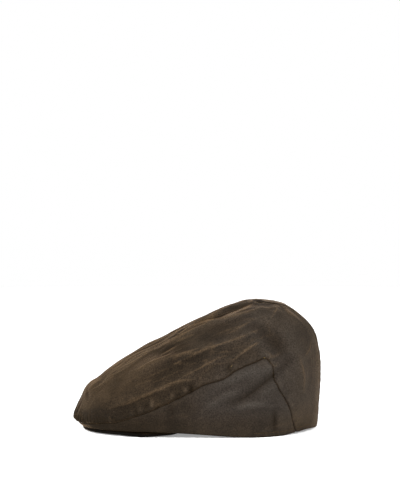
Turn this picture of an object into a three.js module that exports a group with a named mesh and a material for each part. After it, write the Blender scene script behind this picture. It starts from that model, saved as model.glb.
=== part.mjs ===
// A flat cap in waxed cotton, standing on its own hem as it would on a table. Units are millimetres.
// The peak points along -X, the wearer's left side faces -Y, +Z is up, and the hem touches z = 0.
// The crown is one surface, cut along its seams into a top panel and two side panels. Each panel is
// a thin wall, open below where the head goes in, and the peak is a stiff crescent under the front.
import * as THREE from "three";

const CLOTH = 1.8; // a panel's wall: waxed cotton and what is sewn behind it
const SEAM = 0.4; // open line between two panels
const CREST = new THREE.Vector3(66, 0, 142.4); // highest point of the crown
const HEM_SHARE = 0.04; // the share of a climb over which the wall turns level at the hem
const LAST = 8; // the station at the centre of the back; station 0 is the centre of the front

// The crown's form on the wearer's left, in three tables with one row for each station round the hem,
// evenly spaced from the front to the back. HEM is the cloth's lower edge; where it would fall below
// the table it lies flat on it. SIDES and TOP hold points above it: out is the share of the way from
// the crest to the hem, seen from above, and up is the height.
const HEM = [
  { hem_x: -128, hem_y: 0, hem_z: 4.5 },
  { hem_x: -117.5, hem_y: -41.5, hem_z: 5.2 },
  { hem_x: -84, hem_y: -70, hem_z: 6.2 },
  { hem_x: -43, hem_y: -80.5, hem_z: 6.2 },
  { hem_x: 0.5, hem_y: -82, hem_z: 4.0 },
  { hem_x: 44, hem_y: -81, hem_z: 0.8 },
  { hem_x: 86, hem_y: -69, hem_z: -0.2 },
  { hem_x: 118, hem_y: -41, hem_z: 3.4 },
  { hem_x: 132, hem_y: 0, hem_z: 1.0 },
];
const SIDES = [
  { belly_out: 1.042, belly_up: 13, flank_out: 1.007, flank_up: 31.5, shoulder_out: 0.89, shoulder_up: 57.5 },
  { belly_out: 1.04, belly_up: 14, flank_out: 1.015, flank_up: 31, shoulder_out: 0.897, shoulder_up: 57.5 },
  { belly_out: 1.03, belly_up: 17, flank_out: 1.055, flank_up: 36, shoulder_out: 0.93, shoulder_up: 63.5 },
  { belly_out: 1.035, belly_up: 21, flank_out: 1.06, flank_up: 48, shoulder_out: 0.95, shoulder_up: 76 },
  { belly_out: 1.05, belly_up: 28, flank_out: 1.065, flank_up: 58, shoulder_out: 0.95, shoulder_up: 91 },
  { belly_out: 1.07, belly_up: 34, flank_out: 1.08, flank_up: 68, shoulder_out: 0.97, shoulder_up: 102 },
  { belly_out: 1.095, belly_up: 34, flank_out: 1.105, flank_up: 72, shoulder_out: 1.0, shoulder_up: 103 },
  { belly_out: 1.06, belly_up: 34, flank_out: 1.07, flank_up: 78, shoulder_out: 0.97, shoulder_up: 107 },
  { belly_out: 1.042, belly_up: 35, flank_out: 1.041, flank_up: 86, shoulder_out: 0.935, shoulder_up: 110.5 },
];
const TOP = [
  { slope_out: 0.638, slope_up: 90.6, crown_out: 0.306, crown_up: 122 },
  { slope_out: 0.64, slope_up: 90, crown_out: 0.31, crown_up: 121.9 },
  { slope_out: 0.69, slope_up: 91.2, crown_out: 0.35, crown_up: 122 },
  { slope_out: 0.73, slope_up: 99.6, crown_out: 0.39, crown_up: 125.2 },
  { slope_out: 0.74, slope_up: 113, crown_out: 0.41, crown_up: 131.7 },
  { slope_out: 0.76, slope_up: 123, crown_out: 0.42, crown_up: 136.8 },
  { slope_out: 0.78, slope_up: 124.5, crown_out: 0.43, crown_up: 137.6 },
  { slope_out: 0.75, slope_up: 126.5, crown_out: 0.42, crown_up: 138.2 },
  { slope_out: 0.67, slope_up: 128.3, crown_out: 0.38, crown_up: 139 },
];
const STATIONS = HEM.map((hem, k) => ({ ...hem, ...SIDES[k], ...TOP[k] }));
const LEVELS = ["belly", "flank", "shoulder", "slope", "crown"];

// The seam between the top panel and a side panel: its height at a station. It climbs from the centre
// of the front to a corner, then runs down and back to the hem.
const SIDE_SEAM = [
  { station: 0, up: 8.5 },
  { station: 1, up: 10 },
  { station: 1.7, up: 12 },
  { station: 2.15, up: 17 },
  { station: 2.8, up: 26 },
  { station: 3.45, up: 41 },
  { station: 4, up: 53.5 },
  { station: 4.5, up: 63.5 },
  { station: 5, up: 76.5 },
  { station: 5.3, up: 82.5 },
  { station: 5.63, up: 86 },
  { station: 5.72, up: 81 },
  { station: 5.79, up: 73 },
  { station: 5.85, up: 66.5 },
  { station: 5.87, up: 59.5 },
  { station: 5.92, up: 51.5 },
  { station: 6.03, up: 42.5 },
  { station: 6.17, up: 33.5 },
  { station: 6.31, up: 23.5 },
  { station: 6.43, up: 13.5 },
  { station: 6.62, up: 1 },
];
const SEAM_CORNER = 5.63;
const SIDE_END = 6.59; // where a side panel's narrow foot stops
const SIDE_START = 0.004; // where a side panel starts, just clear of the other at the centre of the front

// The main folds and dents, as they show in a side view taken from a little above. A fold runs from
// its start through its middle to its end: x is the distance from the cap's middle in that view, and
// up the height over the hem's lowest point. rise is how far the cloth stands out, or is pressed in
// where it is negative, and above and below are the fold's half widths to each side of its line: past
// them the cloth dips the other way a little.
const SIDE_VIEW = { tilt: THREE.MathUtils.degToRad(7), away: 2200, middle: 66, base: 75 };
const LEFT_FOLDS = [
  { x0: 84, up0: 142, x1: 17, up1: 124, x2: -32, up2: 98, rise: 5.0, above: 7, below: 10 },
  { x0: 34, up0: 139, x1: 0, up1: 121, x2: -42, up2: 95, rise: 3.0, above: 5, below: 5 },
  { x0: 60, up0: 111, x1: 22, up1: 98.5, x2: -14, up2: 85, rise: 3.6, above: 7, below: 6 },
  { x0: 8, up0: 98, x1: -28, up1: 87, x2: -72, up2: 70, rise: 3.8, above: 7, below: 6 },
  { x0: 44, up0: 93, x1: 17, up1: 81, x2: -20, up2: 62, rise: 3.4, above: 6, below: 6 },
  { x0: 4, up0: 62, x1: -40, up1: 51.5, x2: -98, up2: 29, rise: 5.0, above: 10, below: 7 },
  { x0: 70, up0: 102, x1: 56, up1: 95, x2: 36, up2: 80, rise: 2.4, above: 6, below: 5 },
  { x0: 112, up0: 102, x1: 119, up1: 68, x2: 117, up2: 38, rise: 3.0, above: 7, below: 6 },
  { x0: 66, up0: 121, x1: 88, up1: 103, x2: 98, up2: 86, rise: -3.6, above: 9, below: 9 },
  { x0: 116, up0: 90, x1: 77, up1: 62, x2: 32, up2: 29, rise: -4.2, above: 7, below: 9 },
  { x0: 86, up0: 28, x1: 86, up1: 15, x2: 85.5, up2: 2, rise: -4.0, above: 7, below: 7 },
  { x0: -28, up0: 36, x1: -27.5, up1: 26, x2: -27, up2: 14, rise: -3.2, above: 8, below: 8 },
];
const RIGHT_FOLDS = [
  { x0: 76, up0: 139, x1: 20, up1: 122, x2: -36, up2: 94, rise: 4.4, above: 7, below: 10 },
  { x0: 60, up0: 116, x1: 12, up1: 102, x2: -34, up2: 82, rise: 3.8, above: 8, below: 7 },
  { x0: 32, up0: 95, x1: -8, up1: 80, x2: -56, up2: 63, rise: 3.6, above: 7, below: 7 },
  { x0: 12, up0: 64, x1: -32, up1: 52, x2: -92, up2: 30, rise: 4.8, above: 10, below: 7 },
  { x0: 74, up0: 114, x1: 94, up1: 97, x2: 105, up2: 77, rise: -3.4, above: 9, below: 9 },
  { x0: 108, up0: 79, x1: 70, up1: 55, x2: 18, up2: 31, rise: -4.0, above: 8, below: 9 },
  { x0: 80, up0: 26, x1: 80, up1: 14, x2: 81, up2: 2, rise: -3.4, above: 7, below: 7 },
];
const FOLD_STEPS = 14; // straight pieces along a fold
const FACING = { from: -0.12, full: 0.2 }; // a side's folds fade out as the cloth turns to the other side

// The peak: a crescent with its outer edge just under the crown's hem and its inner edge along the
// head opening. Its two tails run on inside the side panels.
const PEAK = {
  tail: 3.35, // the station where a tail ends
  thick: 3.6,
  tailThick: 1.8,
  thinFrom: 2.5, // from this station it thins towards its tail
  rounding: 1.2, // of its outer edge
  inset: 0.9, // how far its outer edge lies inside the crown's hem
  frontInset: 2.2,
  frontTo: 1.2, // the front inset has gone by this station
  tailInset: 2.7,
  tuckFrom: 2.6, // between these stations a tail moves inwards, clear of the side panel
  tuckTo: 3.05,
  arch: 8, // how much higher its inner edge is at the middle
  opening: { x: 32, long: 97, wide: 79, turn: 1.0 }, // the head opening's oval, and its turn each way
};
// The peak's underside along its outer edge.
const PEAK_EDGE = [
  { station: 0, up: 0.5 },
  { station: 1, up: 1.2 },
  { station: 2, up: 1.3 },
  { station: 2.6, up: 0 },
  { station: 2.9, up: 1 },
  { station: 3.4, up: 3.2 },
];

// How finely the surfaces are cut. The columns are counted on one side: from the front to the seam's
// corner, down the steep seam to a side panel's foot, and on to the centre of the back.
const COLUMNS = { front: 24, corner: 12, back: 8 };
const TOP_ROWS = 23;
const ROW_GROWTH = 1.2; // the top panel's rows are closest together along its seam
const SIDE_ROWS = 6;
const PEAK_COLUMNS = 36;
const PEAK_ROWS = 5;

const WAXED = { color: 0x45392b, roughness: 0.62, metalness: 0 };
const MATERIALS = {
  top: new THREE.MeshStandardMaterial(WAXED),
  side: new THREE.MeshStandardMaterial({ ...WAXED, color: 0x41382d }),
  peak: new THREE.MeshStandardMaterial({ ...WAXED, color: 0x2e261c }),
};

const { clamp, lerp, smoothstep } = THREE.MathUtils;

// Evenly spaced values from a to b, both included.
const spaced = (a, b, count) => Array.from({ length: count + 1 }, (_, k) => lerp(a, b, k / count));

// A smooth line through evenly spaced values, at the place u counted in values.
function through(values, u) {
  const last = values.length - 1;
  const i = Math.min(Math.max(Math.floor(u), 0), last - 1);
  const f = u - i;
  const at = (k) => values[Math.min(Math.max(k, 0), last)];
  const [a, b, c, d] = [at(i - 1), at(i), at(i + 1), at(i + 2)];
  return b + 0.5 * f * (c - a + f * (2 * a - 5 * b + 4 * c - d + f * (3 * (b - c) + d - a)));
}

// One column of STATIONS at a station, with the row before the front and the row after the back
// mirrored from the other side of the cap. hem_y changes sign there.
const COLUMN_VALUES = new Map();
function column(name, station) {
  if (!COLUMN_VALUES.has(name)) {
    const sign = name === "hem_y" ? -1 : 1;
    const row = (k) => STATIONS[k][name];
    COLUMN_VALUES.set(name, [sign * row(1), ...STATIONS.map((s) => s[name]), sign * row(LAST - 1)]);
  }
  return through(COLUMN_VALUES.get(name), station + 1);
}

// The height that a table of stations gives, with a straight run between its rows.
function heightAt(table, station) {
  const next = table.findIndex((row) => row.station >= station);
  if (next <= 0) return table[0].up;
  const [a, b] = [table[next - 1], table[next]];
  return THREE.MathUtils.mapLinear(station, a.station, b.station, a.up, b.up);
}

// The cap's round coordinate goes 0 to 8 along the left side, and on to 16 back along the right.
const stationOf = (round) => {
  const r = THREE.MathUtils.euclideanModulo(round, 2 * LAST);
  return r <= LAST ? { station: r, side: 1 } : { station: 2 * LAST - r, side: -1 };
};

// The smooth line that climbs from the hem to the crest at one place round the cap.
function climb(round) {
  const { station, side } = stationOf(round);
  const hem = new THREE.Vector3(column("hem_x", station), column("hem_y", station) * side, 0);
  const points = [new THREE.Vector3(hem.x, hem.y, Math.max(column("hem_z", station), 0))];
  for (const level of LEVELS) {
    const out = column(level + "_out", station);
    const point = new THREE.Vector3().lerpVectors(CREST, hem, out);
    points.push(point.setZ(column(level + "_up", station)));
  }
  points.push(CREST.clone());
  const gaps = points.slice(1).map((p, i) => p.distanceTo(points[i]));
  const along = gaps.reduce((sums, gap) => [...sums, sums.at(-1) + gap], [0]);
  const slopes = points.map((p, i) => {
    const before = i > 0 && p.clone().sub(points[i - 1]).divideScalar(gaps[i - 1]);
    const after = i < gaps.length && points[i + 1].clone().sub(p).divideScalar(gaps[i]);
    if (!before) return after;
    if (!after) return before.setZ(0); // the crown is level at its crest
    return before.multiplyScalar(gaps[i]).addScaledVector(after, gaps[i - 1])
      .divideScalar(gaps[i] + gaps[i - 1]);
  });
  return { points, gaps, along, slopes, length: along.at(-1) };
}

// The point at a share t of the way up a climb, from 0 at the hem to 1 at the crest.
function onClimb(line, t) {
  const way = t * line.length;
  let i = line.gaps.length - 1;
  while (i > 0 && line.along[i] > way) i -= 1;
  const h = line.gaps[i];
  const f = (way - line.along[i]) / h;
  const [f2, f3] = [f * f, f * f * f];
  return new THREE.Vector3()
    .addScaledVector(line.points[i], 2 * f3 - 3 * f2 + 1)
    .addScaledVector(line.slopes[i], (f3 - 2 * f2 + f) * h)
    .addScaledVector(line.points[i + 1], 3 * f2 - 2 * f3)
    .addScaledVector(line.slopes[i + 1], (f3 - f2) * h);
}

const CLIMBS = new Map();
const climbAt = (round) => {
  if (!CLIMBS.has(round)) CLIMBS.set(round, climb(round));
  return CLIMBS.get(round);
};
const smoothPoint = (round, t) => onClimb(climbAt(round), t);

// The outward direction of the crown before its folds.
const STEP = 0.01;
function outward(round, t) {
  if (t > 1 - STEP) return new THREE.Vector3(0, 0, 1);
  const low = Math.max(t - STEP, 0);
  const across = smoothPoint(round + STEP, t).sub(smoothPoint(round - STEP, t));
  const up = smoothPoint(round, t + STEP).sub(smoothPoint(round, low));
  return across.cross(up).normalize();
}

// A fold's line: one bend through its start, middle and end.
function foldLine(fold) {
  const bend = (start, middle, end, u) =>
    start + u * (4 * middle - 3 * start - end) + 2 * u * u * (start + end - 2 * middle);
  return spaced(0, 1, FOLD_STEPS).map((u) => [
    bend(fold.x0, fold.x1, fold.x2, u),
    bend(fold.up0, fold.up1, fold.up2, u),
  ]);
}
const drawn = (folds) => folds.map((fold) => ({ ...fold, line: foldLine(fold) }));
const FOLDS = { left: drawn(LEFT_FOLDS), right: drawn(RIGHT_FOLDS) };

// How far one fold moves the cloth at a point of the side view.
const TAPER_END = 0.04; // a fold keeps a little of its rise at its ends
function foldRise(fold, x, up) {
  let best = { distance: Infinity };
  for (let k = 0; k < FOLD_STEPS; k += 1) {
    const [[ax, ay], [bx, by]] = [fold.line[k], fold.line[k + 1]];
    const [dx, dy] = [bx - ax, by - ay];
    const length = Math.hypot(dx, dy);
    const f = clamp(((x - ax) * dx + (up - ay) * dy) / length ** 2, 0, 1);
    const [ox, oy] = [x - ax - f * dx, up - ay - f * dy];
    const distance = Math.hypot(ox, oy);
    if (distance < best.distance)
      best = { distance, along: (k + f) / FOLD_STEPS, above: dx * oy - dy * ox < 0 };
  }
  const away = best.distance / (best.above ? fold.above : fold.below);
  const taper = Math.sqrt(Math.sin(Math.PI * clamp(best.along, TAPER_END, 1 - TAPER_END)));
  return fold.rise * taper * (1 - away ** 2) * Math.exp(-(away ** 2) / 2);
}

// A side's folds at a point, seen from that side: 1 is the wearer's left and -1 the right.
function sideRelief(folds, side, point, normal) {
  const facing = smoothstep(-side * normal.y, FACING.from, FACING.full);
  if (facing === 0) return 0;
  const [sin, cos] = [Math.sin(SIDE_VIEW.tilt), Math.cos(SIDE_VIEW.tilt)];
  const [deep, high] = [point.y * side, point.z - SIDE_VIEW.middle];
  const nearer = SIDE_VIEW.away / (SIDE_VIEW.away + deep * cos - high * sin);
  const up = SIDE_VIEW.base + (deep * sin + high * cos) * nearer;
  return facing * folds.reduce((sum, fold) => sum + foldRise(fold, point.x * nearer, up), 0);
}

const relief = (point, normal) =>
  sideRelief(FOLDS.left, 1, point, normal) + sideRelief(FOLDS.right, -1, point, normal);

// A point of the crown's outside and the point of its inside behind it. At the hem both lie level, so
// that the cap stands on a flat edge.
function wallAt(round, t) {
  const normal = outward(round, t);
  const smooth = smoothPoint(round, t);
  const level = smoothstep(t, 0, HEM_SHARE);
  const across = new THREE.Vector3(normal.x, normal.y, normal.z * level).normalize();
  const outer = smooth.clone().addScaledVector(across, relief(smooth, normal));
  return { outer, inner: outer.clone().addScaledVector(across, -CLOTH) };
}

// The share of a climb where the side seam crosses it, moved by shift square to the seam.
const SEAM_REACH = 0.62; // the seam stays below this share
const HALVINGS = 30;
const NEAR = 0.02; // in stations, to measure how steep the seam is
function seamShare(round, shift) {
  const { station } = stationOf(round);
  if (station >= SIDE_SEAM.at(-1).station) return 0;
  const line = climbAt(round);
  const height = heightAt(SIDE_SEAM, station);
  let [low, high] = [0, SEAM_REACH];
  for (let k = 0; k < HALVINGS; k += 1) {
    const middle = 0.5 * (low + high);
    if (onClimb(line, middle).z < height) low = middle;
    else high = middle;
  }
  const [before, after] = station > SEAM_CORNER ? [station, station + NEAR] : [station - NEAR, station];
  const run = smoothPoint(after, low).distanceTo(smoothPoint(before, low));
  const steep = (heightAt(SIDE_SEAM, after) - heightAt(SIDE_SEAM, before)) / run;
  return Math.max(low + (shift * Math.hypot(1, steep)) / line.length, 0);
}

// A closed thin wall from a grid of { outer, inner } points. Rows climb and columns go round. A ring of
// columns joins its last column to its first, and a crested wall closes at one point above its last row.
function wallGeometry(grid, { ring, crest }) {
  const [columns, rows] = [grid.length, grid[0].length];
  const points = [];
  for (const layer of ["outer", "inner"])
    for (const line of grid) for (const place of line) points.push(place[layer]);
  const half = columns * rows;
  const at = (layer, i, j) => layer * half + (i % columns) * rows + j;
  const faces = [];
  const quad = (a, b, c, d) => {
    const short = points[a].distanceTo(points[c]) < points[b].distanceTo(points[d]);
    if (short) faces.push([a, b, c], [a, c, d]);
    else faces.push([b, c, d], [b, d, a]);
  };
  const lastColumn = ring ? columns : columns - 1;
  for (let i = 0; i < lastColumn; i += 1) {
    for (let j = 0; j < rows - 1; j += 1) {
      quad(at(0, i, j), at(0, i + 1, j), at(0, i + 1, j + 1), at(0, i, j + 1));
      quad(at(1, i, j), at(1, i, j + 1), at(1, i + 1, j + 1), at(1, i + 1, j));
    }
    quad(at(1, i, 0), at(1, i + 1, 0), at(0, i + 1, 0), at(0, i, 0));
    if (!crest) {
      const j = rows - 1;
      quad(at(0, i, j), at(0, i + 1, j), at(1, i + 1, j), at(1, i, j));
    }
  }
  if (crest) {
    points.push(crest.outer, crest.inner);
    const [top, under] = [2 * half, 2 * half + 1];
    for (let i = 0; i < columns; i += 1) {
      faces.push([at(0, i, rows - 1), at(0, i + 1, rows - 1), top]);
      faces.push([at(1, i + 1, rows - 1), at(1, i, rows - 1), under]);
    }
  }
  if (!ring) {
    const end = columns - 1;
    for (let j = 0; j < rows - 1; j += 1) {
      quad(at(1, 0, j), at(0, 0, j), at(0, 0, j + 1), at(1, 0, j + 1));
      quad(at(0, end, j), at(1, end, j), at(1, end, j + 1), at(0, end, j + 1));
    }
  }
  const geometry = new THREE.BufferGeometry().setFromPoints(points);
  geometry.setIndex(faces.flat());
  geometry.computeVertexNormals();
  return geometry;
}

// The places round the left side where the crown is cut: close together where the seam is steep.
const LEFT_CUTS = [
  ...spaced(0, SEAM_CORNER, COLUMNS.front),
  ...spaced(SEAM_CORNER, SIDE_END, COLUMNS.corner).slice(1),
  ...spaced(SIDE_END, LAST, COLUMNS.back).slice(1),
];

function topPanel() {
  const right = LEFT_CUTS.slice(1, -1).reverse().map((cut) => 2 * LAST - cut);
  const grid = [...LEFT_CUTS, ...right].map((round) => {
    const start = seamShare(round, SEAM / 2);
    const shares = spaced(0, 1, TOP_ROWS + 1).slice(0, -1).map((f) => f ** ROW_GROWTH);
    return shares.map((f) => wallAt(round, lerp(start, 1, f)));
  });
  return wallGeometry(grid, { ring: true, crest: wallAt(0, 1) });
}

function sidePanel(side) {
  const cuts = LEFT_CUTS.filter((cut) => cut <= SIDE_END);
  cuts[0] = SIDE_START;
  const rounds = side > 0 ? cuts : [...cuts].reverse().map((cut) => 2 * LAST - cut);
  const grid = rounds.map((round) => {
    const end = seamShare(round, -SEAM / 2);
    return spaced(0, end, SIDE_ROWS).map((t) => wallAt(round, t));
  });
  return wallGeometry(grid, { ring: false });
}

// The hem's place seen from above, at a station on the left side.
const hemAt = (station) => new THREE.Vector3(column("hem_x", station), column("hem_y", station), 0);

// One cross-section of the peak, from its inner edge out along the underside and back over the top.
// share goes from -1 at the right tail to 1 at the left.
function peakSection(share) {
  const station = PEAK.tail * Math.abs(share);
  const side = share < 0 ? -1 : 1;
  const hem = hemAt(station);
  const inwards = hemAt(station + NEAR).sub(hem).cross(new THREE.Vector3(0, 0, -1)).normalize();
  const tuck = smoothstep(station, PEAK.tuckFrom, PEAK.tuckTo);
  const front = 1 - smoothstep(station, 0, PEAK.frontTo);
  const inset = lerp(PEAK.inset, PEAK.tailInset, tuck) + (PEAK.frontInset - PEAK.inset) * front;
  const outer = hem.addScaledVector(inwards, inset);
  const { x, long, wide, turn } = PEAK.opening;
  const angle = turn * Math.abs(share);
  const inner = new THREE.Vector3(x - long * Math.cos(angle), -wide * Math.sin(angle), 0);
  const thick = lerp(PEAK.thick, PEAK.tailThick, smoothstep(station, PEAK.thinFrom, PEAK.tail));
  const rounding = Math.min(PEAK.rounding, thick / 3);
  const base = heightAt(PEAK_EDGE, station);
  const arch = PEAK.arch * (1 - share * share);
  const at = (across, up) => {
    const place = outer.clone().lerp(inner, across);
    return new THREE.Vector3(place.x, place.y * side, base + arch * across + up);
  };
  const flat = spaced(rounding / outer.distanceTo(inner), 1, PEAK_ROWS);
  return [
    ...flat.map((across) => at(across, 0)).reverse(),
    at(0, rounding),
    at(0, thick - rounding),
    ...flat.map((across) => at(across, thick)),
  ];
}

function peak() {
  const sections = spaced(-1, 1, PEAK_COLUMNS).map(peakSection);
  const size = sections[0].length;
  const points = sections.flat();
  const faces = [];
  for (let i = 0; i < PEAK_COLUMNS; i += 1)
    for (let j = 0; j < size; j += 1) {
      const [a, b] = [i * size + j, i * size + ((j + 1) % size)];
      faces.push([a, b + size, b], [a, a + size, b + size]);
    }
  const last = PEAK_COLUMNS * size;
  for (let j = 1; j < size - 1; j += 1) {
    faces.push([0, j, j + 1]);
    faces.push([last, last + j + 1, last + j]);
  }
  const geometry = new THREE.BufferGeometry().setFromPoints(points);
  geometry.setIndex(faces.flat());
  geometry.computeVertexNormals();
  return geometry;
}

function named(name, geometry, material) {
  const mesh = new THREE.Mesh(geometry, material);
  mesh.name = name;
  return mesh;
}

const cap = new THREE.Group();
cap.add(
  named("top_panel", topPanel(), MATERIALS.top),
  named("left_side_panel", sidePanel(1), MATERIALS.side),
  named("right_side_panel", sidePanel(-1), MATERIALS.side),
  named("peak", peak(), MATERIALS.peak),
);

export default cap;
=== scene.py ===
"""A flat cap in waxed cotton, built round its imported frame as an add-on run from a script.

The crown is one surface, cut along its seams into a top panel and two side panels, then folded,
creased, gathered at its seams and sewn. Sizes are worked out in millimetres; meshes are in metres.
The peak points along -X, the wearer's left side faces -Y, and the hem stands on z = 0.
"""

import math

import bpy
import numpy as np
from bpy.props import FloatProperty, FloatVectorProperty, IntProperty, PointerProperty
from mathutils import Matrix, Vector, kdtree, noise


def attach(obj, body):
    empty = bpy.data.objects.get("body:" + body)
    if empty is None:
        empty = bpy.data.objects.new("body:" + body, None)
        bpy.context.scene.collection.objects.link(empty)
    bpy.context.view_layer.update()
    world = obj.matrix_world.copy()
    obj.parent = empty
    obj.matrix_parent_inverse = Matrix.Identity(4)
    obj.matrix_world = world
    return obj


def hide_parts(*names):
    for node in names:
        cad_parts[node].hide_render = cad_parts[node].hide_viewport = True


bl_info = {
    "name": "Waxed Flat Cap",
    "version": (1, 0, 0),
    "blender": (4, 5, 0),
    "location": "View3D > Sidebar > Flat Cap",
    "description": "Builds a creased and sewn waxed-cotton flat cap round its packed frame",
    "category": "Object",
}

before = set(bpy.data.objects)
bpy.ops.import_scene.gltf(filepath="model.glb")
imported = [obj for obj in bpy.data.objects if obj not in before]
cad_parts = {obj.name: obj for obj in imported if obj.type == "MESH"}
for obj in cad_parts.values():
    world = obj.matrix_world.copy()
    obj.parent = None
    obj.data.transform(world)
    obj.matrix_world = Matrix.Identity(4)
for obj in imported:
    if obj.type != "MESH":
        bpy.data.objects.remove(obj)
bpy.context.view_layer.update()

MM = 0.001  # metres in a millimetre


def table(names, *rows):
    """A short table with named columns, as one array for each column."""
    return dict(zip(names.split(), np.array(rows, float).T, strict=True))


def rows_of(columns):
    """The rows of a table, each as a dictionary."""
    names = list(columns)
    return [dict(zip(names, row)) for row in zip(*columns.values())]


# The crown's form on the wearer's left, with one row for each of nine stations round the hem, evenly
# spaced from the centre of the front to the centre of the back. HEM is the cloth's lower edge. LEVELS
# holds the points that a climb passes above it: out is the share of the way from the crest to the hem,
# seen from above, and up is the height.
CREST = np.array([66.0, 0.0, 142.4])
LAST = 8
HEM_SHARE = 0.04  # the share of a climb over which the wall turns level at the hem
HEM = table(
    "x y z",
    (-128, 0, 4.5),
    (-117.5, -41.5, 5.2),
    (-84, -70, 6.2),
    (-43, -80.5, 6.2),
    (0.5, -82, 4.0),
    (44, -81, 0.8),
    (86, -69, -0.2),
    (118, -41, 3.4),
    (132, 0, 1.0),
)
LEVELS = table(
    "belly_out belly_up flank_out flank_up shoulder_out shoulder_up slope_out slope_up crown_out crown_up",
    (1.042, 13, 1.007, 31.5, 0.89, 57.5, 0.638, 90.6, 0.306, 122),
    (1.04, 14, 1.015, 31, 0.897, 57.5, 0.64, 90, 0.31, 121.9),
    (1.03, 17, 1.055, 36, 0.93, 63.5, 0.69, 91.2, 0.35, 122),
    (1.035, 21, 1.06, 48, 0.95, 76, 0.73, 99.6, 0.39, 125.2),
    (1.05, 28, 1.065, 58, 0.95, 91, 0.74, 113, 0.41, 131.7),
    (1.07, 34, 1.08, 68, 0.97, 102, 0.76, 123, 0.42, 136.8),
    (1.095, 34, 1.105, 72, 1.0, 103, 0.78, 124.5, 0.43, 137.6),
    (1.06, 34, 1.07, 78, 0.97, 107, 0.75, 126.5, 0.42, 138.2),
    (1.042, 35, 1.041, 86, 0.935, 110.5, 0.67, 128.3, 0.38, 139),
)

# The seam between the top panel and a side panel: its height at a station.
SIDE_SEAM = table(
    "station up",
    *((0, 8.5), (1, 10), (1.6, 12.6), (2, 14.6), (2.4, 19.8), (2.9, 27.4), (3.35, 36.6), (3.75, 45.2)),
    *((4.07, 53.3), (4.25, 57.8), (4.4, 60.2), (4.6, 62.4), (4.73, 65.3), (4.87, 69.8), (5, 73.6)),
    *((5.16, 77.1), (5.34, 80.2), (5.5, 83.4), (5.63, 85.8), (5.72, 83.4), (5.8, 78.2), (5.845, 72)),
    *((5.86, 66), (5.885, 60), (5.975, 52), (6.12, 43.5), (6.24, 35), (6.36, 26), (6.42, 16.7)),
    *((6.53, 7.5), (6.62, 1)),
)
SEAM_CORNER = 5.63
SEAM_FOOT = 6.62
SIDE_START, SIDE_END = 0.004, 6.59
SEAM_GAP = -0.12  # between the edges of two panels, which meet under the stitches

# The main folds, as they show in a side view taken from a little above. A fold runs from its start
# through its middle to its end; x is the distance from the cap's middle and up the height in the view.
# rise is how far it stands out, above and below are its half widths, and crease is how sharp and how worn
# its crest is or, where it sinks in, how much painted shade it has.
VIEW_TILT, VIEW_AWAY, VIEW_MIDDLE, VIEW_BASE = math.radians(7), 2200, 66, 75
FOLD_COLUMNS = "x0 up0 x1 up1 x2 up2 rise above below crease"
LEFT_FOLDS = table(
    FOLD_COLUMNS,
    (84, 143, 19, 127, -32, 99, 2.2, 6, 8, 0.5),
    (34, 139, 0, 121, -42, 95, 1.5, 5, 5, 0.5),
    (60, 111, 22, 98.5, -14, 85, 2.0, 7, 6, 0.5),
    (8, 98, -28, 87, -72, 70, 2.3, 7, 6, 0.5),
    (44, 93, 17, 81, -20, 62, 1.9, 6, 6, 0.5),
    (4, 62, -40, 51.5, -98, 29, 2.9, 10, 7, 0.5),
    (70, 102, 56, 95, 36, 80, 1.5, 6, 5, 0.6),
    (108, 94, 117, 72, 117, 40, 1.0, 7, 6, 0.6),
    (66, 121, 88, 103, 98, 86, -3.2, 8, 9, 0),
    (107, 85, 74, 58, 34, 29, -2.7, 5, 6, 0.5),
    (84, 77, 54, 67, 20, 49, 1.2, 7, 6, 0),
    (46, 51, 27, 40, 4, 26, 1.2, 4, 5, 0),
    (90, 35, 62, 33, 32, 27, 1.6, 5, 4, 0),
    (86, 28, 85, 15, 85.5, 2, -2.2, 4, 4, 0.5),
    (-28, 34, -27.5, 26, -27, 14, -1.8, 5, 5, 0.2),
)
RIGHT_FOLDS = table(
    FOLD_COLUMNS,
    (76, 139, 20, 122, -36, 94, 1.8, 7, 10, 0.5),
    (60, 116, 12, 102, -34, 82, 1.6, 8, 7, 0.5),
    (32, 95, -8, 80, -56, 63, 1.8, 7, 7, 0.5),
    (12, 64, -32, 52, -92, 30, 2.3, 10, 7, 0.5),
    (74, 114, 94, 97, 105, 77, -2.2, 9, 9, 0),
    (108, 79, 70, 55, 18, 31, -2.8, 8, 9, 0),
    (80, 26, 80, 14, 81, 2, -2.4, 7, 7, 0),
)
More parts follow.
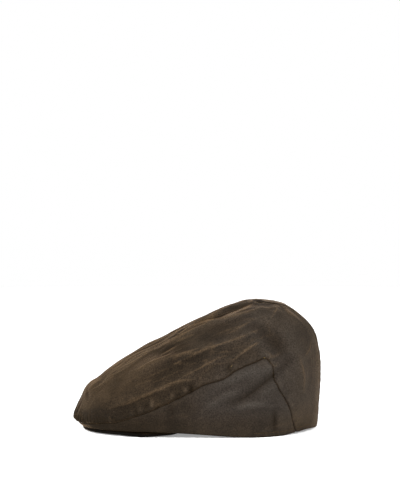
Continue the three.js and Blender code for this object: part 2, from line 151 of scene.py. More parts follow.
# Smaller creases that lie on and between the main folds.
LEFT_CREASES = table(
    FOLD_COLUMNS,
    (72, 141, 44, 132.5, 12, 126, 1.2, 2.5, 3.5, 1.4),
    (22, 128.8, -5, 117, -32, 100, 0.9, 2.5, 3, 1.0),
    (38, 143, 5, 126, -30, 106, 2.0, 2.5, 2, 1.0),
    (10, 128, -12, 117.5, -38, 100, 0.6, 2.5, 2.5, 0.7),
    (58, 141.5, 50, 138.8, 40, 135.4, 0.6, 2, 2, 0.8),
    (66, 130, 47, 118.5, 30, 109.5, 0.7, 3, 3, 0.6),
    (74, 119, 43, 106.5, 8, 95, 0.8, 5, 2.5, 0.9),
    (22, 100.8, 8, 95, -14, 85, 0.7, 3, 3, 0.8),
    (9, 101, -12, 92.5, -36, 86.5, 0.7, 2.5, 3, 0.7),
    (-26, 91, -49, 82, -68, 70.5, 0.7, 3, 3, 0.9),
    (1, 112.5, -14, 107, -31, 98, 0.6, 2, 2.5, 0.8),
    (71, 103.5, 58, 97.5, 39, 83.5, 0.7, 3, 2.5, 0.7),
    (39, 92.5, 30, 92, 18, 88.5, 0.6, 2.5, 2.5, 0.7),
    (49, 88, 38, 83.8, 28, 83, 0.5, 2.5, 2.5, 0.5),
    (28, 88, 7, 76, -20, 61, 0.8, 3, 3, 1.0),
    (-2, 60.5, -21, 59.5, -41, 52, 0.7, 2.5, 3, 1.2),
    (-29, 55, -55, 44.5, -82, 32.5, 0.7, 3, 3.5, 0.9),
    (-68, 37.5, -84, 33, -103, 28.5, 0.6, 3, 3.5, 0.6),
    (-41, 65, -58, 59, -77, 51.5, 0.5, 3, 3, 0.5),
    (3, 89, -14, 84, -38, 73, 0.5, 2.5, 3, 0.4),
    (-4, 76, -24, 69, -50, 58, 0.5, 3, 3, 0.4),
    (62, 125, 38, 117, 12, 108, 0.5, 2.5, 2.5, 0.5),
    (91, 144, 86.5, 136, 81, 126, 0.9, 3.5, 3.5, 0.7),
    (74, 140, 82, 141, 90, 142.5, 0.5, 2, 2, 0.8),
    (93, 144, 98, 139, 106, 130, 0.6, 2.5, 2.5, 0.8),
    (96, 144, 103, 136, 114, 126, 0.5, 2, 2, 0.7),
    (75, 93.5, 80, 90.7, 85, 86, 0.6, 2.5, 2.5, 0.7),
    (124, 112, 124.5, 96, 116, 83.5, 0.5, 3.5, 3.5, 0.7),
    (113, 84, 118.5, 65, 116.5, 44, 0.6, 3, 3, 0.9),
    (69, 4, 88, 10, 118, 19, 0.5, 2.5, 3, 0.3),
    (-110, 59.5, -118, 51.5, -126, 41, 0.8, 2.5, 3, 0.7),
    (-25, 98.5, -34, 92, -45, 84.5, -1.0, 2, 2.5, 0.6),
    (-3, 118, -22, 108, -46, 94, 0.7, 3, 3, 0.6),
    (-42, 97, -62, 86, -86, 70, 0.6, 3.5, 3, 0.4),
    (-20, 78, -44, 69, -72, 56, 0.6, 3, 3, 0.5),
    (-52, 72, -74, 61, -96, 46, 0.6, 3.5, 3.5, 0.3),
    (-40, 47, -62, 40, -90, 29.5, -0.9, 2.5, 3, 0.3),
    (44, 139, 12, 127, -20, 109, -1.8, 2, 2, 0.7),
    (50, 148, 10, 134, -24, 117, 1.3, 9, 4, 0.2),
    (60, 134.5, 40, 126, 14, 119, -0.6, 4, 4, 0.3),
)
RIGHT_CREASES = table(
    FOLD_COLUMNS,
    (66, 134, 34, 128, 4, 116, 0.7, 3, 3, 0.9),
    (24, 128, 2, 116, -24, 103, 0.7, 3, 3, 0.7),
    (70, 124, 48, 117, 24, 104, 0.8, 4, 4, 0.8),
    (40, 108, 14, 98, -12, 90, 0.7, 3, 3, 0.8),
    (-26, 87, -44, 78, -66, 66, 0.7, 3, 3, 0.9),
    (8, 84, -10, 76, -30, 68, 0.7, 3, 3, 0.6),
    (-2, 58, -28, 54, -52, 44, 0.7, 3, 3, 0.9),
    (88, 140, 84, 130, 72, 118, 0.9, 4, 4, 0.7),
    (118, 104, 122, 90, 116, 70, 0.6, 4, 4, 0.6),
)
FOLD_STEPS = 14
TAPER_END = 0.04  # a fold's taper stops short of nothing by this share of its length
FACING = (-0.35, 0.0)  # a side's folds fade out as the cloth turns to the other side

# Small dents and bumps, mostly where the top panel is eased on to a side panel, and patches of painted
# shade and painted light: a place in the side view, its rise, its half width and half height, and how much
# painted shade or, below 0, painted light.
DENT_COLUMNS = "x up rise wide tall dark"
LEFT_DENTS = table(
    DENT_COLUMNS,
    (36, 73, -2.4, 3.5, 5, 0.6),
    (27, 70, 1.2, 4, 5, 0),
    (-7, 51, -2.8, 3, 4.5, 0.6),
    (-12, 50, 1.3, 3.5, 3, -0.5),
    (-20.5, 44, -2.0, 2.2, 3, 0.3),
    (-27, 44, 1.3, 2.4, 3.5, -0.45),
    (-50, 35, 1.6, 2.6, 5, -1.0),
    (-44, 31, -1.4, 3, 4.5, 0.2),
    (-55.5, 31, -1.4, 2.2, 4, 0.3),
    (-63, 28, 1.2, 2.2, 4, -0.5),
    (-67, 25, -1.2, 2, 4, 0.1),
    (-73, 23, 1.0, 2.4, 4, -0.4),
    (-57, 58, 0, 16, 8, 0.35),
    (26, 90, 0, 26, 9, 0.5),
    (12, 74, 0, 22, 11, 0.45),
    (-62, 84, 0, 22, 12, -0.1),
    (-98, 60, 0, 10, 12, -0.4),
    (-102, 44, 0, 13, 9, -0.6),
    (-88, 78, 0, 8, 6, -0.5),
    (-122, 33, 0, 11, 11, -0.6),
    (-118, 11, 0, 12, 4, 0.9),
    (-80, 66, 0, 20, 12, -0.3),
    (-20, 92, 0, 20, 10, 0.15),
    (88, 104, 0, 9, 14, 0.25),
    (48, 141, 0, 18, 4, 0.7),
    (22, 133, 0, 12, 5, -0.25),
    (-30, 110, 0, 9, 5, 0.35),
    (-6, 101, 0, 10, 5, -0.4),
    (58, 146, 0, 6, 4, 0.5),
    (68, 127, 0, 11, 9, -0.4),
    (-2, 107, 0, 20, 7, -0.35),
    (5, 126, 0, 10, 3, 0.4),
    (108, 70, 0, 14, 40, -0.25),
    (106, 22, 0, 16, 16, -0.35),
    (98, 130, 0, 26, 14, -0.2),
    (88, 72, 0, 9, 8, -0.25),
    (56, 68, 0, 14, 7, -0.25),
    (38, 60, 0, 9, 5, -0.25),
    (34, 45, 0, 9, 5, -0.25),
    (20, 35, 0, 9, 5, -0.2),
    (58, 34, 0, 18, 4, -0.25),
    (76, 48, 0, 8, 8, -0.2),
    (86, 36, 0, 10, 3, 0.3),
    (45, 18, 0, 30, 10, 0.2),
    (-20, 65, 0, 20, 12, 0.15),
    (-64, 46, 0, 18, 7, 0.9),
    (-26, 57, 0, 14, 7, 0.35),
    (-14, 31, 0, 15, 9, 0.55),
    (-120, 47.5, -1.3, 1.8, 6, 0.5),
    (-40, 24, 0, 26, 12, 0.1),
    (-30, 10, 0, 16, 6, -0.25),
    (-118, 52, 2.6, 8, 9, 0),
    (-133, 28, -1.0, 7, 8, 0),
)
RIGHT_DENTS = table(
    DENT_COLUMNS,
    (34, 72, -2.4, 3.5, 5, 0.2),
    (-12, 50, -2.6, 3, 4.5, 0.3),
    (-19, 47, 1.5, 3.5, 3.5, -0.2),
    (-54, 32, 1.6, 2.6, 5, -0.2),
    (-70, 26, -1.2, 2.4, 4, 0.2),
    (16, 72, 0, 22, 11, 0.3),
    (-118, 52, 2.4, 8, 9, 0),
    (-133, 28, -1.0, 7, 8, 0),
)


def smoothstep(x, low, high):
    """0 below low, 1 above high, and smooth from one to the other."""
    f = np.clip((x - low) / (high - low), 0, 1)
    return f * f * (3 - 2 * f)


def unit(vectors):
    return vectors / np.linalg.norm(vectors, axis=-1, keepdims=True)


def bell(distance, width):
    """1 where the distance is nothing, falling off to 0 past the width."""
    return np.exp(-((distance / width) ** 2))


def spaced(*ends, counts):
    """Evenly spaced values through the given ends, with a count of steps for each stretch."""
    runs = [np.linspace(a, b, n, endpoint=False) for a, b, n in zip(ends, ends[1:], counts)]
    return np.append(np.concatenate(runs), ends[-1])


def at_station(values, station, odd=False):
    """A smooth line through a table's column, mirrored past the front and the back."""
    sign = -1 if odd else 1
    v = np.concatenate(([sign * values[1]], values, [sign * values[-2]]))
    i = np.clip(np.floor(station).astype(int), 0, LAST - 1)
    f = station - i
    a, b, c, d = (v[i + k] for k in range(4))
    return b + 0.5 * f * (c - a + f * (2 * a - 5 * b + 4 * c - d + f * (3 * (b - c) + d - a)))


def station_of(turn):
    """The station and the side, 1 for the wearer's left and -1 for the right, of places round the cap."""
    turn = np.mod(turn, 2 * LAST)
    return np.where(turn <= LAST, turn, 2 * LAST - turn), np.where(turn <= LAST, 1.0, -1.0)


def crown(turn, t):
    """Points of the smooth crown, and the length of the climb that each is on.

    turn goes round the cap, 0 to 8 along the left side and on to 16 back along the right, and t is the
    share of the way up from the hem to the crest.
    """
    turn, t = np.broadcast_arrays(np.asarray(turn, float), np.asarray(t, float))
    shape, t = turn.shape, t.ravel()
    station, side = station_of(turn.ravel())
    hem = np.stack(
        [
            at_station(HEM["x"], station),
            at_station(HEM["y"], station, odd=True) * side,
            np.maximum(at_station(HEM["z"], station), 0),
        ],
        axis=-1,
    )
    knots = [hem]
    for level in ("belly", "flank", "shoulder", "slope", "crown"):
        out = at_station(LEVELS[level + "_out"], station)[:, None]
        knot = CREST + (hem - CREST) * out
        knot[:, 2] = at_station(LEVELS[level + "_up"], station)
        knots.append(knot)
    knots = np.stack([*knots, np.broadcast_to(CREST, hem.shape)], axis=1)
    steps = np.diff(knots, axis=1)
    gaps = np.linalg.norm(steps, axis=2)
    along = np.concatenate([np.zeros((len(t), 1)), np.cumsum(gaps, axis=1)], axis=1)
    rates = steps / gaps[..., None]
    slopes = np.empty_like(knots)
    before, after = gaps[:, :-1, None], gaps[:, 1:, None]
    slopes[:, 1:-1] = (rates[:, :-1] * after + rates[:, 1:] * before) / (before + after)
    slopes[:, 0] = rates[:, 0]
    slopes[:, -1] = rates[:, -1] * (1, 1, 0)  # the crown is level at its crest
    way = t * along[:, -1]
    i = np.clip((along[:, 1:-1] <= way[:, None]).sum(axis=1), 0, gaps.shape[1] - 1)
    n = np.arange(len(t))
    h = gaps[n, i]
    f = (way - along[n, i]) / h
    f2, f3 = f**2, f**3
    points = (
        knots[n, i] * (2 * f3 - 3 * f2 + 1)[:, None]
        + slopes[n, i] * ((f3 - 2 * f2 + f) * h)[:, None]
        + knots[n, i + 1] * (3 * f2 - 2 * f3)[:, None]
        + slopes[n, i + 1] * ((f3 - f2) * h)[:, None]
    )
    return points.reshape((*shape, 3)), along[:, -1].reshape(shape)


def spread_out(values, width):
    """Values in a row, each averaged with its neighbours; their ends and the slopes there are kept."""
    reach = 3 * width
    weights = np.exp(-0.5 * (np.arange(-reach, reach + 1) / width) ** 2)
    padded = np.pad(values, reach, "reflect", reflect_type="odd")
    return np.convolve(padded, weights / weights.sum(), "valid")


BIT = 1e-4  # a small step round the cap, in stations


def square_to(turn, share, width):
    """The way square to a line on the crown, as turn and share for a millimetre, smoothed along it."""
    place, length = crown(turn, share)
    around = np.linalg.norm(crown(turn + BIT, share)[0] - place, axis=1) / BIT
    run, climb = np.gradient(turn) * around, np.gradient(share) * length
    run, climb = spread_out(run, width), spread_out(climb, width)
    size = np.hypot(run, climb)
    return -climb / size / around, run / size / length


STEP = 0.01  # the step on each side, in stations and in shares, over which the surface is levelled


def outward(turn, t):
    """The outward direction of the smooth crown."""
    ahead, behind = crown(turn + STEP, t)[0], crown(turn - STEP, t)[0]
    upper, lower = crown(turn, np.minimum(t + STEP, 1))[0], crown(turn, np.maximum(t - STEP, 0))[0]
    normal = np.cross(ahead - behind, upper - lower)
    at_crest = (t > 1 - STEP)[..., None]
    return unit(np.where(at_crest, (0, 0, 1), normal))


def side_view(points, side):
    """Where points show in a side view from a little above: their x and their height in the view."""
    sin, cos = math.sin(VIEW_TILT), math.cos(VIEW_TILT)
    deep, high = points[:, 1] * side, points[:, 2] - VIEW_MIDDLE
    nearer = VIEW_AWAY / (VIEW_AWAY + deep * cos - high * sin)
    return points[:, 0] * nearer, VIEW_BASE + (deep * sin + high * cos) * nearer


def fold_line(fold):
    """A fold's line in the side view: one bend through its start, middle and end."""
    u = np.linspace(0, 1, FOLD_STEPS + 1)[:, None]
    start, middle, end = (np.array([fold["x" + k], fold["up" + k]]) for k in "012")
    return start + u * (4 * middle - 3 * start - end) + 2 * u**2 * (start + end - 2 * middle)


def near_fold(line, x, up):
    """How far points are from a fold's line, how far along it they lie, and whether they are above it."""
    best = np.full(x.shape, np.inf)
    along = np.zeros(x.shape)
    above = np.zeros(x.shape, bool)
    for k, ((ax, ay), (bx, by)) in enumerate(zip(line, line[1:])):
        dx, dy = bx - ax, by - ay
        f = np.clip(((x - ax) * dx + (up - ay) * dy) / (dx * dx + dy * dy), 0, 1)
        ox, oy = x - ax - f * dx, up - ay - f * dy
        distance = np.hypot(ox, oy)
        nearer = distance < best
        best = np.where(nearer, distance, best)
        along = np.where(nearer, (k + f) / FOLD_STEPS, along)
        above = np.where(nearer, dx * oy - dy * ox < 0, above)
    return best, along, above


SHARPNESS = 0.6  # how far a sharp fold's section goes from a soft roll to a pinched ridge
CREST_WIDTH = 1.8  # how fast a crease's crest falls off
CREST_RISE = 0.3
WORN_WIDTH = 0.95  # half width of the pale line along a crease
HALO_WIDTH = 3.6
HALO = 0.13  # how pale the cloth is beside that line
FOLD_REACH = 4.0  # in half widths, past which a fold does nothing


def fold_relief(folds, x, up):
    """How far folds move the cloth at places of the side view, how worn their crests are, and how much
    painted shade the sunken ones have.
    """
    relief, worn, dark = np.zeros((3, *x.shape))
    for fold in rows_of(folds):
        line = fold_line(fold)
        reach = FOLD_REACH * max(fold["above"], fold["below"])
        near = (x > line[:, 0].min() - reach) & (x < line[:, 0].max() + reach)
        near &= (up > line[:, 1].min() - reach) & (up < line[:, 1].max() + reach)
        distance, along, above = near_fold(line, x[near], up[near])
        away = distance / np.where(above, fold["above"], fold["below"])
        taper = np.sqrt(np.sin(np.pi * np.clip(along, TAPER_END, 1 - TAPER_END)))
        roll = (1 - away**2) * np.exp(-(away**2) / 2)
        pinch = (1 - 0.3 * away) * np.exp(-1.5 * away)
        section = roll + SHARPNESS * fold["crease"] * (pinch - roll)
        crest = fold["crease"] * CREST_RISE * np.exp(-distance / CREST_WIDTH)
        relief[near] += taper * (fold["rise"] * section + np.sign(fold["rise"]) * crest)
        # sunken folds get painted shade, raised ones pale wear along their crests
        marked = dark if fold["rise"] < 0 else worn
        mark = bell(distance, WORN_WIDTH) + HALO * bell(distance, HALO_WIDTH)
        marked[near] += fold["crease"] * taper**2 * mark
    return relief, worn, dark


def dent_relief(dents, x, up):
    """How far dents move the cloth at places of the side view, and how much painted shade or, below 0,
    painted light they give.
    """
    relief, dark = np.zeros((2, *x.shape))
    for dent in rows_of(dents):
        q = ((x - dent["x"]) / dent["wide"]) ** 2 + ((up - dent["up"]) / dent["tall"]) ** 2
        share = np.exp(-q)
        relief += dent["rise"] * share
        dark += dent["dark"] * share
    return relief, dark


def ripple(points, across, seed):
    """Smooth noise between -1 and 1. across is the size of its bumps, and each use has its own seed."""
    places = points / across + seed
    return np.array([noise.noise(place) for place in places.tolist()])


class Line:
    """A sewn line on the crown, close enough together to measure distances from it."""

    def __init__(self, points):
        self.points = points
        steps = np.linalg.norm(np.diff(points, axis=0), axis=1)
        self.arc = np.append(0, np.cumsum(steps))
        self.tangent = unit(np.gradient(points, axis=0))
        self.tree = kdtree.KDTree(len(points))
        for k, point in enumerate(points):
            self.tree.insert(point, k)
        self.tree.balance()

    def near(self, points, reach):
        """How far points are from the line, infinite past the reach, and the arc where they are nearest."""
        low, high = self.points.min(axis=0) - reach, self.points.max(axis=0) + reach
        close = np.flatnonzero(((points > low) & (points < high)).all(axis=1))
        distance, arc = np.full(len(points), np.inf), np.zeros(len(points))
        if len(close):
            index = np.array([self.tree.find(point)[1] for point in points[close].tolist()])
            offset = points[close] - self.points[index]
            run = (offset * self.tangent[index]).sum(axis=1)
            inside = (index > 0) & (index < len(self.points) - 1)
            run = np.where(inside, run, 0)
            distance[close] = np.linalg.norm(offset - run[:, None] * self.tangent[index], axis=1)
            arc[close] = self.arc[index] + run
        return distance, arc


SEAM_REACH = 0.62  # the seam stays below this share of a climb
HALVINGS = 30
NEAR = 0.02  # a short way round the cap, in stations
SEAM_WAVE, WAVY_FROM, WAVY_TO = 0.35, (1.8, 2.6), (5.2, 5.55)


def seam_height(station):
    """The side seam's height at a station, a little wavy where the top panel is eased on to the side."""
    waves = np.sin(station * 31) * np.sin(station * 13 + 1)
    wavy = smoothstep(station, *WAVY_FROM) * (1 - smoothstep(station, *WAVY_TO))
    return np.interp(station, SIDE_SEAM["station"], SIDE_SEAM["up"]) + SEAM_WAVE * wavy * waves


def seam_share(turn, shift):
    """The share of a climb where the side seam crosses it, moved by shift square to the seam."""
    station, _ = station_of(turn)
    height = seam_height(station)
    low, high = np.zeros(turn.shape), np.full(turn.shape, SEAM_REACH)
    for _ in range(HALVINGS):
        middle = 0.5 * (low + high)
        under = crown(turn, middle)[0][..., 2] < height
        low, high = np.where(under, middle, low), np.where(under, high, middle)
    falling = station > SEAM_CORNER
    before = np.where(falling, station, station - NEAR)
    run = np.linalg.norm(crown(before + NEAR, low)[0] - crown(before, low)[0], axis=-1)
    steep = (seam_height(before + NEAR) - seam_height(before)) / run
    square = np.hypot(1, steep) / crown(turn, low)[1]
    share = np.maximum(low + shift * square, 0)
    share = np.where(station >= SEAM_FOOT, 0, share)
    return share, square


SEAM_STATIONS = spaced(0, SEAM_CORNER, SEAM_FOOT - 0.001, counts=(900, 500))


def seam_line(side):
    """The seam between the top panel and a side panel, from the centre of the front to the hem."""
    turn = SEAM_STATIONS if side > 0 else 2 * LAST - SEAM_STATIONS
    share, _ = seam_share(turn, 0)
    return Line(crown(turn, share)[0])


# The seam down the back, which starts beside the crest: its station and share of the climb.
BACK_SEAM = table(
    "station share",
    *((5.7, 0.9), (6.38, 0.877), (6.97, 0.842), (7.3, 0.8), (7.5, 0.74), (7.63, 0.67)),
    *((7.78, 0.52), (7.92, 0.3), (8, 0.1), (8, 0)),
)
BACK_POINTS, HEM_POINTS = 500, 1600
BACK_SMOOTH = 16  # over how many points the back seam's knots are rounded


def back_path():
    """Places along the seam down the back, from the crown to the hem."""
    knots = np.arange(len(BACK_SEAM["station"]))
    along = np.linspace(0, knots[-1], BACK_POINTS)
    return [spread_out(np.interp(along, knots, column), BACK_SMOOTH) for column in BACK_SEAM.values()]


SEAMS = {"left": seam_line(1), "right": seam_line(-1)}
HEM_LINE = Line(crown(np.linspace(0, 2 * LAST, HEM_POINTS), 0)[0])
BACK = Line(crown(*back_path())[0])

# How the cloth is drawn in along its sewn lines. Sizes are heights and half widths.
SEAM_SPAN, BACK_SPAN, HEM_SPAN = 30, 24, 14  # past which a sewn line does nothing to the cloth
SEAM_ROW = {"left": 7.0, "right": 31.0}  # each seam's own row in the noise
DITCH, DITCH_WIDTH = 0.9, 1.0
# painted shade along a seam's ditch, and its half width
SEAM_DARK, SEAM_LINE = 0.9, 0.8
WELT, WELT_AT, WELT_WIDTH = 0.5, 3.6, 2.2
ROLL = 0.6  # how far an edge is rounded in
PINNED = 2.4  # the stitches hold the gathers flat nearer to the seam than this
WAVE, WAVE_TALL = 0.4, 5.0
PUCKER, PUCKER_LONG, PUCKER_TALL = 2.0, 7.0, 7.0
GATHER, GATHER_PITCH, GATHER_TALL, GATHER_SUNK = 2.4, 4.3, 12.0, 0.6
GATHER_END, GATHER_LEFT = (30.0, 60.0), 0.2  # where the front's gathers fade, and what is left of them
GATHER_UNEVEN = 0.8  # how far the gathers differ in their pitch and their height
PUCKER_FROM = (60.0, 90.0)  # where the puckers begin
DARK_BAND_TALL, DARK_BAND_END = 13.0, (95.0, 160.0)  # the darker band beside the front of the seam, and where it ends
BACK_DITCH, BACK_WELT, BACK_WELT_AT, BACK_WIDTH = 0.9, 0.7, 3.4, 1.3
BACK_RUBBED, BACK_RUBBED_WIDTH = 0.5, 1.6
# painted shade in the back seam's ditch and, far stronger, in the pit at the crown, and its half width
BACK_DARK, PIT_DARK, BACK_DARK_WIDTH = 0.05, 0.45, 2.0
BACK_SPREAD = 16.0  # the seam's ditch is wider and deeper this near to the pit at the crown
BACK_PULL, BACK_PULL_LONG, BACK_PULL_TALL = 0.6, 3.2, 5
SEAM_SEWN = 0.7  # from a side seam to its stitches
BACK_SEWN = 2.4  # from the seam to the stitches on each side of it
# The pit where the back seam ends, and the hollows and bumps round it, seen from above; dark is the painted
# shade of each.
CROWN_HOLLOWS = table(
    "x y long wide rise dark",
    (68.7, -20, 2.2, 4.5, -4.6, 2.5),
    (80, -19, 8, 4.5, -1.6, 1.2),
    (60, -14, 7, 8, 0.5, 0),
    (79, 2, 13, 14, -1.0, 0),
    (44, -27, 15, 7.5, -3.4, 0.5),
    (22, -29, 13, 6.5, -2.6, 0.5),
    (28, -4, 24, 7, 1.2, 0),
    (2, 0, 14, 18, 1.1, 0),
)
CREST_ONLY = 30  # how far below the crest the last of them shows
HEM_RIPPLE, HEM_RIPPLE_LONG, HEM_RIPPLE_TALL = 0.35, 4.5, 5
# painted shade along the bottom at the front: its strength, its height, and the x over which it fades out
HEM_SHADE, HEM_SHADE_TALL, HEM_SHADE_TO = 0.7, 14.0, (-90.0, 40.0)
# How much of the cloth's tint is grey, partly the bloom of dry wax and partly painted sheen, from the front
# to the back.
TOP_WAX_AND_SHEEN = table("x share", (-130, 0), (-70, 0), (-25, 0.2), (20, 0.5), (75, 0.7), (130, 0.45))
SIDE_WAX_AND_SHEEN = table("x share", (-120, 0.35), (-60, 0.5), (0, 0.8), (45, 1.0), (110, 0.9))
HEM_WAX_AND_SHEEN, HEM_WAX_AND_SHEEN_TALL = 0.6, (12.0, 42.0)  # how much less of it the hem has, and up to where
SEAM_WAX_AND_SHEEN = 0.45  # how much more of it there is beside the front of a side seam
# painted shade along the hem's lower edge, and its half width
HEM_EDGE_DARK, HEM_EDGE = 0.9, 1.4
SHADE_DEPTH = 5.5  # how deep sunken cloth is where it has all of the painted shade; raised cloth gets painted highlight the same way
# the painted shade's range: below 0 is painted highlight
PAINTED_SHADE_RANGE = (-1, 1.4)
BEND, BEND_LONG = 1.0, 30.0  # how far folds stray from their lines, and over what length
SOFT, SOFT_LONG = 0.9, 26.0  # the cloth's slow unevenness
FINE, FINE_WEAR = 0.9, 0.55  # height of the fine creases, and how worn they are beside the others
LONG_CREASES, SHORT_CREASES, UPRIGHT_CREASES = (60, 13, 13), (26, 6, 6), (12, 12, 38)
WANDER, WANDER_LONG = (7, 5), 34.0  # how far those along the pull and the upright ones wander
UPRIGHT_FROM = (84, 108)  # where the creases along the pull give way to upright ones
FEWEST, SIDE_STRENGTH = 0.35, 0.55  # their strength where they are fewest, and on the side panels
WORN_FROM = (0.62, 0.98)  # the heights on a crease between which it starts to be worn
PATCHES_LONG, STREAKS_LONG = 40.0, 9.0  # of more and fewer creases, and of more and less wear
PULL = np.array([0.934, 0, 0.358])  # the way that the cloth is pulled, from the front up to the crest
PULL_FRAME = np.array([PULL, (0, 1, 0), (-PULL[2], 0, PULL[0])])


def beside(arc, row):
    """Places in the noise for points along a line; each line has a row of its own."""
    return np.stack([arc, np.zeros_like(arc), np.zeros_like(arc) + row], axis=1)


def along_seam(relief, points, part):
    """Adds the ditch, the welt, the gathers and the puckers beside the side seams.

    Returns the painted shade along the seam's ditch and a darker band beside the front of the top panel's
    edge.
    """
    kept = np.zeros(len(points))
    for side, seam in SEAMS.items():
        if part not in ("top", side):
            continue
        distance, arc = seam.near(points, SEAM_SPAN)
        place = beside(arc, SEAM_ROW[side])
        waves = ripple(place, PUCKER_LONG, 0.5) + 0.6 * ripple(place, PUCKER_LONG / 2.3, 3.5)
        relief -= DITCH * bell(distance, DITCH_WIDTH)
        relief += WAVE * waves * bell(distance, WAVE_TALL)
        if part == "top":
            free = 1 - bell(distance, PINNED)
            later = smoothstep(arc, *PUCKER_FROM)
            front = 1 - (1 - GATHER_LEFT) * smoothstep(arc, *GATHER_END) - GATHER_LEFT * later
            uneven = ripple(place, GATHER_PITCH * 2.2, 11.5)
            gathers = np.cos(2 * np.pi * (arc / GATHER_PITCH + GATHER_UNEVEN * uneven)) - GATHER_SUNK
            tall = GATHER_TALL * (0.85 + GATHER_UNEVEN * ripple(place, GATHER_PITCH * 1.3, 17.5))
            relief += WELT * free * bell(distance - WELT_AT, WELT_WIDTH)
            relief += GATHER * front * gathers * free * bell(distance, tall)
            relief += PUCKER * later * waves * free * bell(distance, PUCKER_TALL)
            kept += (1 - smoothstep(arc, *DARK_BAND_END)) * bell(distance, DARK_BAND_TALL)
        # painted shade along the ditch
        kept += SEAM_DARK * bell(distance, SEAM_LINE)
    return kept


def along_back(relief, points):
    """Adds the seam at the centre of the back and the pit that it ends in at the crown.

    Returns the painted shade in the seam's ditch, the pit and the hollows beside it, and how far the welts
    are rubbed.
    """
    distance, arc = BACK.near(points, BACK_SPAN)
    place = beside(arc, np.sign(points[:, 1]) * 5)
    spread = np.exp(-arc / BACK_SPREAD)
    relief += BACK_PULL * ripple(place, BACK_PULL_LONG, 81.5) * bell(distance, BACK_PULL_TALL)
    welt_at = BACK_WELT_AT * (1 + 0.9 * spread)
    relief += BACK_WELT * (1 + spread) * bell(distance - welt_at, 0.5 * welt_at)
    relief -= BACK_DITCH * (1 + 1.2 * spread) * bell(distance, BACK_WIDTH * (1 + 1.6 * spread))
    rubbed = BACK_RUBBED * (1 - spread) * bell(distance - welt_at, BACK_RUBBED_WIDTH)
    # painted shade in the ditch, stronger towards the pit
    dark = (BACK_DARK + PIT_DARK * spread) * bell(distance, BACK_DARK_WIDTH)
    for hollow_shade in rows_of(CROWN_HOLLOWS):
        q = ((points[:, 0] - hollow_shade["x"]) / hollow_shade["long"]) ** 2
        q += ((points[:, 1] - hollow_shade["y"]) / hollow_shade["wide"]) ** 2
        q += ((points[:, 2] - CREST[2]) / CREST_ONLY) ** 4
        relief += hollow_shade["rise"] * np.exp(-q)
        dark += hollow_shade["dark"] * np.exp(-q)
    return dark, rubbed


def ridges(points, across, seed):
    """Thin ridges between -1 and 1, from noise that is folded over at its middle."""
    return 1 - 2 * np.abs(ripple(points, across, seed))


def fine_creases(points, part):
    """The small creases between the folds, and how far they are worn."""
    warp = np.stack([ripple(points, WANDER_LONG, seed) for seed in (2.5, 5.5, 8.5)], axis=1)
    pulled = (points + WANDER[0] * warp) @ PULL_FRAME.T
    hanging = points + WANDER[1] * warp
    along = 0.7 * ridges(pulled, LONG_CREASES, 21.5) + 0.3 * ridges(pulled, SHORT_CREASES, 27.5)
    upright = 0.45 * ridges(hanging, UPRIGHT_CREASES, 33.5)
    rear = smoothstep(points[:, 0], *UPRIGHT_FROM)
    lines = (1 - rear) * along + rear * upright
    patches = smoothstep(ripple(points, PATCHES_LONG, 41.5), -0.35, 0.35)
    strength = (FEWEST + (1 - FEWEST) * patches) * (1.0 if part == "top" else SIDE_STRENGTH)
    worn = smoothstep(lines, *WORN_FROM) * strength
    return FINE * strength * (lines - 0.5), worn


